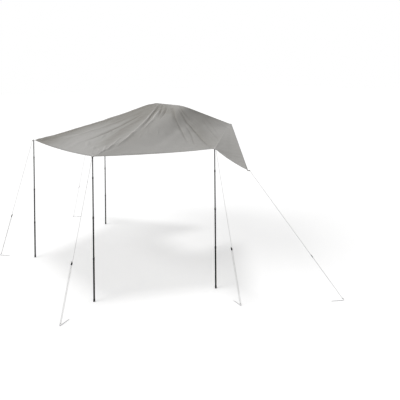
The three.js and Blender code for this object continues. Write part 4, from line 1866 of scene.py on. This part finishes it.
@dataclass(frozen=True)
class CornerTabs:
    """The webbing tabs and their pressed eyelets at the canopy's corners."""

    edge: UpperEdge
    radius: float = 0.020
    thickness: float = 0.003
    hole: float = 0.0048
    flange: float = 0.009
    seat_gap: float = 0.00035
    inner: float = 0.0070
    neck: float = 0.0085
    rings: tuple[float, ...] = (0.0088, 0.0160, 0.0168, 0.0176, 0.0191, 0.0200)
    stitched: tuple[float, float] = (0.0160, 0.0176)
    stitch_depth: float = 0.0004
    rounding: float = 0.0007

    def tab(self, reach: float) -> bpy.types.Object:
        """A doubled webbing tab about the origin, drawn out to a point where reach is larger.

        Args:
            reach: From the tab's middle to the end that faces the cloth.

        Returns:
            The tab.
        """
        bpy.ops.object.select_all(action="DESELECT")
        bpy.ops.mesh.primitive_circle_add(vertices=64, radius=self.inner, fill_type="NOTHING")
        bench = Bench("tab")
        bpy.ops.mesh.select_all(action="SELECT")
        last = self.inner
        for ring in self.rings:
            bpy.ops.mesh.extrude_edges_move()
            bpy.ops.transform.resize(value=(ring / last, ring / last, 1.0))
            last = ring
        obj = bench.done()
        turn = math.acos(min(self.radius / reach, 1.0))
        for point in obj.data.vertices:
            far = point.co.xy.length
            angle = abs(math.atan2(point.co.y, point.co.x))
            if angle < turn and far > self.neck:
                drawn = (far - self.neck) / (self.radius - self.neck)
                point.co.xy *= 1 + (1 / math.cos(turn - angle) - 1) * drawn
        apply_modifier(obj, "SOLIDIFY", thickness=self.thickness, offset=0.0)
        bpy.ops.object.mode_set(mode="EDIT")
        low, high = self.stitched
        bench.pick_faces(lambda middle, normal: abs(normal.z) > 0.8 and low < middle.xy.length < high)
        bench.push(-self.stitch_depth)
        bench.round_sharp(self.rounding, 3)
        obj = bench.done(outwards=True)
        lay_uv(obj, "tape", point_array(obj)[corner_points(obj), :2])
        return obj

    def eyelet(self) -> bpy.types.Object:
        """A pressed eyelet about the origin.

        Returns:
            The eyelet.
        """
        hole, rim = self.hole, self.flange
        upper = [(hole, 0.0012), (hole + 0.0003, 0.0017), (hole + 0.0010, 0.0021), (hole + 0.0020, 0.0022)]
        upper += [(rim - 0.0010, 0.0020), (rim - 0.0003, 0.0018), (rim, 0.00155)]
        lower = [(radius, -height) for radius, height in reversed(upper)]
        return turned("eyelet", [*upper, *lower, upper[0]], 40)

    def build(self, finishes: Finishes) -> list[bpy.types.Object]:
        """Makes all the tabs and eyelets.

        Args:
            finishes: The awning's finishes.

        Returns:
            The pieces.
        """
        pieces = []
        eyelet = self.eyelet()
        for corner in CORNERS:
            model = self.tab(corner.reach - self.seat_gap)
            inward = corner.inward(self.edge)
            turn = Matrix.Rotation(math.atan2(inward.y, inward.x), 4, "Z")
            place = Matrix.Translation(corner.place) @ turn
            tab = copied(model, f"{corner.name}_webbing_tab", place)
            ring = copied(eyelet, f"{corner.name}_eyelet", place)
            pieces.append(keep(tab, "canopy", finishes.webbing, Slot.WEBBING, f"{corner.name}_tab"))
            pieces.append(keep(ring, "canopy", finishes.bright, Slot.STEEL))
            discard(model)
        discard(eyelet)
        return pieces


# Poles


@dataclass(frozen=True)
class PoleShape:
    """The sizes that all four telescopic poles share, from the ground up."""

    lower_diameter: float = 0.025
    wall: float = 0.0012
    slide_clearance: float = 0.0003
    lengths: tuple[float, float, float] = (0.625, 0.583, 0.570)
    overlap: float = 0.062
    top_length: float = 0.600
    plug: float = 0.018
    edge: float = 0.0005
    touch_gap: float = 0.0003
    top_clearance: float = 0.003
    spike: float = 0.008
    spike_length: float = 0.034
    spike_seat: float = 0.0004
    spike_groove: tuple[float, float] = (0.0120, 0.0138)
    spike_groove_depth: float = 0.0003
    shoulder_drop: float = 0.0032
    collar_wall: float = 0.002
    collar_height: float = 0.034
    grip_height: float = 0.026
    ribs: int = 8
    rib_start: float = 0.62
    rib_end: float = 0.0030
    rib_inset: float = 0.0003
    rib_depth: float = 0.0007
    chamfer: float = 0.0016
    collar_rounding: float = 0.00035
    collar_clearance: float = 0.0003
    foot_clearance: float = 0.0003
    foot_wall: float = 0.0017
    foot_rings: tuple[float, ...] = (0.0100, 0.0135, 0.0170)
    foot_height: float = 0.038
    sole: float = 0.007

    def radius(self, index: int) -> float:
        """The outer radius of a section, counted from the ground."""
        return self.lower_diameter / 2 - index * (self.wall + self.slide_clearance)


class Section(Enum):
    """The pole's outer sections, from the ground up."""

    LOWER = "lower"
    SECOND = "second"
    THIRD = "third"


@dataclass(frozen=True)
class Poles:
    """The four telescopic poles: tubes, twist-lock collars, spikes and rubber feet."""

    shape: PoleShape

    def tube(self, radius: float, length: float) -> bpy.types.Object:
        """A tube with a rounded lip and a closed lower end.

        Args:
            radius: Its outer radius.
            length: Its length.

        Returns:
            The tube, which stands on the origin.
        """
        s = self.shape
        bore, e = radius - s.wall, s.edge
        lip = s.wall / 2
        profile = [(0.0, 0.0), *arc((radius - e, e), e, -90, 0, 3)]
        profile += [(radius, length * share) for share in (0.25, 0.5, 0.75)]
        profile += [*arc((radius - lip, length - lip), lip, 0, 180, 6), (bore, s.plug), (0.0, s.plug)]
        return turned("tube", profile, 36)

    def top_tube(self, radius: float) -> bpy.types.Object:
        """The topmost tube, whose sloped shoulder carries the spike.

        Args:
            radius: Its outer radius.

        Returns:
            The tube, which stands on the origin.
        """
        s = self.shape
        bore, e, length = radius - s.wall, s.edge, s.top_length
        shoulder, top = length - s.shoulder_drop, length - 0.0002
        profile = [(bore, 0.0), *arc((radius - e, e), e, -90, 0, 3)]
        profile += [(radius, length * share) for share in (0.3, 0.6)]
        profile += arc((radius - e, shoulder), e, 0, 50, 3)
        profile += [(s.spike / 2 + 0.0012, top), (s.spike / 2, top), (0.0, top)]
        profile += [(0.0, shoulder - s.plug), (bore, shoulder - s.plug), (bore, 0.0)]
        return turned("top_tube", profile, 36)

    def spike(self) -> bpy.types.Object:
        """The pin on top of the pole, with a turned groove and a rounded point.

        Returns:
            The pin, which stands on the origin.
        """
        s = self.shape
        r, tip, depth = s.spike / 2, s.spike_length, s.spike_groove_depth
        low, high = s.spike_groove
        profile = [(0.0, -s.spike_seat), (r, -s.spike_seat), (r, low), (r - depth, low + 0.0004)]
        profile += [(r - depth, high - 0.0004), (r, high), (r, tip - 0.0062)]
        profile += arc((r - 0.0016, tip - 0.0062), 0.0016, 0, 40, 2)[1:]
        profile += [(0.0018, tip - 0.0010), (0.0010, tip - 0.0002), (0.0, tip)]
        return turned("spike", profile, 28)

    def collar(self, outer: float, inner: float) -> bpy.types.Object:
        """A twist-lock collar: a ribbed grip over the outer tube's end and a chamfered nose.

        Args:
            outer: The radius of the tube that it sits on.
            inner: The radius of the tube that it grips.

        Returns:
            The collar, which stands on the origin.
        """
        s = self.shape
        grip, nose = outer + s.collar_wall, outer + s.collar_wall / 2
        bore, throat = outer + s.collar_clearance, inner + s.collar_clearance
        count, shelf = 48, s.grip_height - s.chamfer
        bench = Bench.cylinder("collar", count, grip, 0.0, s.grip_height)
        bench.pick_faces(lambda middle, normal: normal.z > 0.5)
        bench.inset(grip - nose)
        bench.extrude(0.0, 0.0, s.collar_height - s.grip_height - s.chamfer)
        bench.extrude(0.0, 0.0, s.chamfer)
        shrink = (nose - s.chamfer) / nose
        bpy.ops.transform.resize(value=(shrink, shrink, 1.0))
        bench.inset(nose - s.chamfer - throat)
        bpy.ops.mesh.delete(type="FACE")
        bench.pick_faces(lambda middle, normal: normal.z < -0.5)
        bench.inset(grip - bore)
        bench.extrude(0.0, 0.0, shelf)
        bench.inset(bore - throat)
        bpy.ops.mesh.delete(type="FACE")
        bench.pick_edges(lambda middle, angle: middle.xy.length < throat + NEAR and angle > 3.0)
        bpy.ops.mesh.bridge_edge_loops()
        step = 2 * math.pi / s.ribs
        low, high = s.rib_end, s.grip_height - s.rib_end
        for z in (low, high):
            bench.cut((0.0, 0.0, z), (0.0, 0.0, 1.0))
        bench.pick_faces(
            lambda middle, normal: middle.xy.length > nose
            and abs(normal.z) < 0.3
            and low < middle.z < high
            and (math.atan2(middle.y, middle.x) % step) / step > s.rib_start
        )
        bench.inset(s.rib_inset)
        bench.push(-s.rib_depth)
        bench.round_sharp(s.collar_rounding, 2, least=34.0)
        return bench.done(outwards=True)

    def foot(self) -> bpy.types.Object:
        """A rubber ferrule with a ringed wall and a grooved sole.

        Returns:
            The ferrule, which stands on the origin.
        """
        s = self.shape
        bore = s.radius(0) + s.foot_clearance
        wall = bore + s.foot_wall
        profile = [(0.0, 0.0008), (0.0050, 0.0008), (0.0053, 0.0), (0.0078, 0.0), (0.0081, 0.0010)]
        profile += [(0.0093, 0.0010), (0.0096, 0.0), *arc((wall - 0.003, 0.003), 0.003, -90, 0, 6)]
        for low in s.foot_rings:
            profile += [(wall, low), (wall - 0.0004, low + 0.0005)]
            profile += [(wall - 0.0004, low + 0.0015), (wall, low + 0.0020)]
        profile += [*arc((wall - 0.0008, s.foot_height - 0.0008), 0.0008, 0, 90, 4), (bore, s.foot_height)]
        profile += [(bore, s.sole), (0.0, s.sole)]
        return turned("foot", profile, 40)

    def build(self, finishes: Finishes) -> None:
        """Makes the four poles from one set of parts.

        Args:
            finishes: The awning's finishes.
        """
        s = self.shape
        spans: list[tuple[float, float]] = []
        height = 0.0
        for visible in s.lengths:
            low = height - s.overlap if spans else s.sole + s.touch_gap
            height += visible
            spans.append((low, height))
        tubes = [self.tube(s.radius(i), high - low) for i, (low, high) in enumerate(spans)]
        collars = [self.collar(s.radius(i), s.radius(i + 1)) for i in range(3)]
        top_tube, spike, foot = self.top_tube(s.radius(3)), self.spike(), self.foot()
        for corner in filter(lambda c: c.on_pole, CORNERS):
            name = corner.name
            ground = Matrix.Translation((corner.x, corner.y + TO_ROW, 0.0))
            rubber = copied(foot, f"{name}_ferrule", ground)
            keep(rubber, f"{name}_lower", finishes.rubber, Slot.RUBBER, f"{name}_foot")
            for index, section in enumerate(Section):
                low, high = spans[index]
                key = f"{name}_{section.value}"
                up = ground @ Matrix.Translation((0.0, 0.0, low))
                finish = finishes.lower_tube if section is Section.LOWER else finishes.upper_tube
                keep(copied(tubes[index], f"{key}_section", up), key, finish, Slot.TUBE, f"{key}_tube")
                seat = high + s.touch_gap - (s.grip_height - s.chamfer)
                up = ground @ Matrix.Translation((0.0, 0.0, seat))
                grip = copied(collars[index], f"{key}_twist_lock", up)
                keep(grip, f"{key}_lock", finishes.plastic, Slot.PLASTIC, f"{key}_collar")
            top = corner.height - s.top_clearance
            up = ground @ Matrix.Translation((0.0, 0.0, top - s.top_length))
            tube = copied(top_tube, f"{name}_top_section", up)
            keep(tube, f"{name}_top", finishes.upper_tube, Slot.TUBE, f"{name}_top_tube")
            pin = copied(spike, f"{name}_spike", ground @ Matrix.Translation((0.0, 0.0, top)))
            keep(pin, f"{name}_top", finishes.bright, Slot.STEEL, f"{name}_top_tube")
        discard(*tubes, *collars, top_tube, spike, foot)


# Floor and light


@dataclass(frozen=True)
class Lamp:
    """A soft lamp that is far away."""

    name: str
    strength: float
    way: Point
    spread_deg: float

    def build(self) -> None:
        """Hangs the lamp."""
        data = bpy.data.lights.new(self.name, "SUN")
        data.energy, data.angle = self.strength, math.radians(self.spread_deg)
        lamp = bpy.data.objects.new(self.name, data)
        bpy.context.scene.collection.objects.link(lamp)
        lamp.rotation_mode = "QUATERNION"
        lamp.rotation_quaternion = Vector(self.way).to_track_quat("-Z", "Y")


@dataclass(frozen=True)
class Studio:
    """The pale floor, the even sky and the soft lamps."""

    sky: float = 0.34
    lamps: tuple[Lamp, ...] = (
        Lamp("top_lamp", 0.66, (0.03, 0.04, -1.0), 14.0),
        Lamp("side_lamp", 1.42, (0.12, 0.80, -0.58), 44.0),
        Lamp("back_lamp", 0.12, (0.55, -0.42, -0.95), 30.0),
    )
    floor_half: float = 60.0

    def build(self) -> None:
        """Makes the floor, the sky and the lamps."""
        bpy.ops.object.select_all(action="DESELECT")
        bpy.ops.mesh.primitive_plane_add(size=2 * self.floor_half)
        floor = bpy.context.object
        floor.name = "studio_floor"
        floor.data.materials.append(PaleFloor().build())
        world = bpy.data.worlds.new("studio_sky")
        bpy.context.scene.world = world
        board = Board(world)
        strength = seen_rays(board) * (1.0 - self.sky) + self.sky
        sky = board.add("Background", inputs={"Color": (1.0, 1.0, 1.0, 1.0), "Strength": strength})
        board.add_output(sky)
        for lamp in self.lamps:
            lamp.build()
        bpy.context.scene.view_settings.view_transform = "Standard"


def main() -> None:
    """Builds the awning's looks in order."""
    logging.basicConfig(level=logging.INFO, format="%(name)s %(message)s")
    PhotoView().build()
    finishes = Finishes.build()
    Guylines(LineShape()).build(finishes)
    edge = UpperEdge()
    sewn = [EdgeStrip(edge).build(finishes), *CornerTabs(edge).build(finishes)]
    Canopy(edge).build(finishes, sewn)
    Poles(PoleShape()).build(finishes)
    Studio().build()


if __name__ == "__main__":
    main()
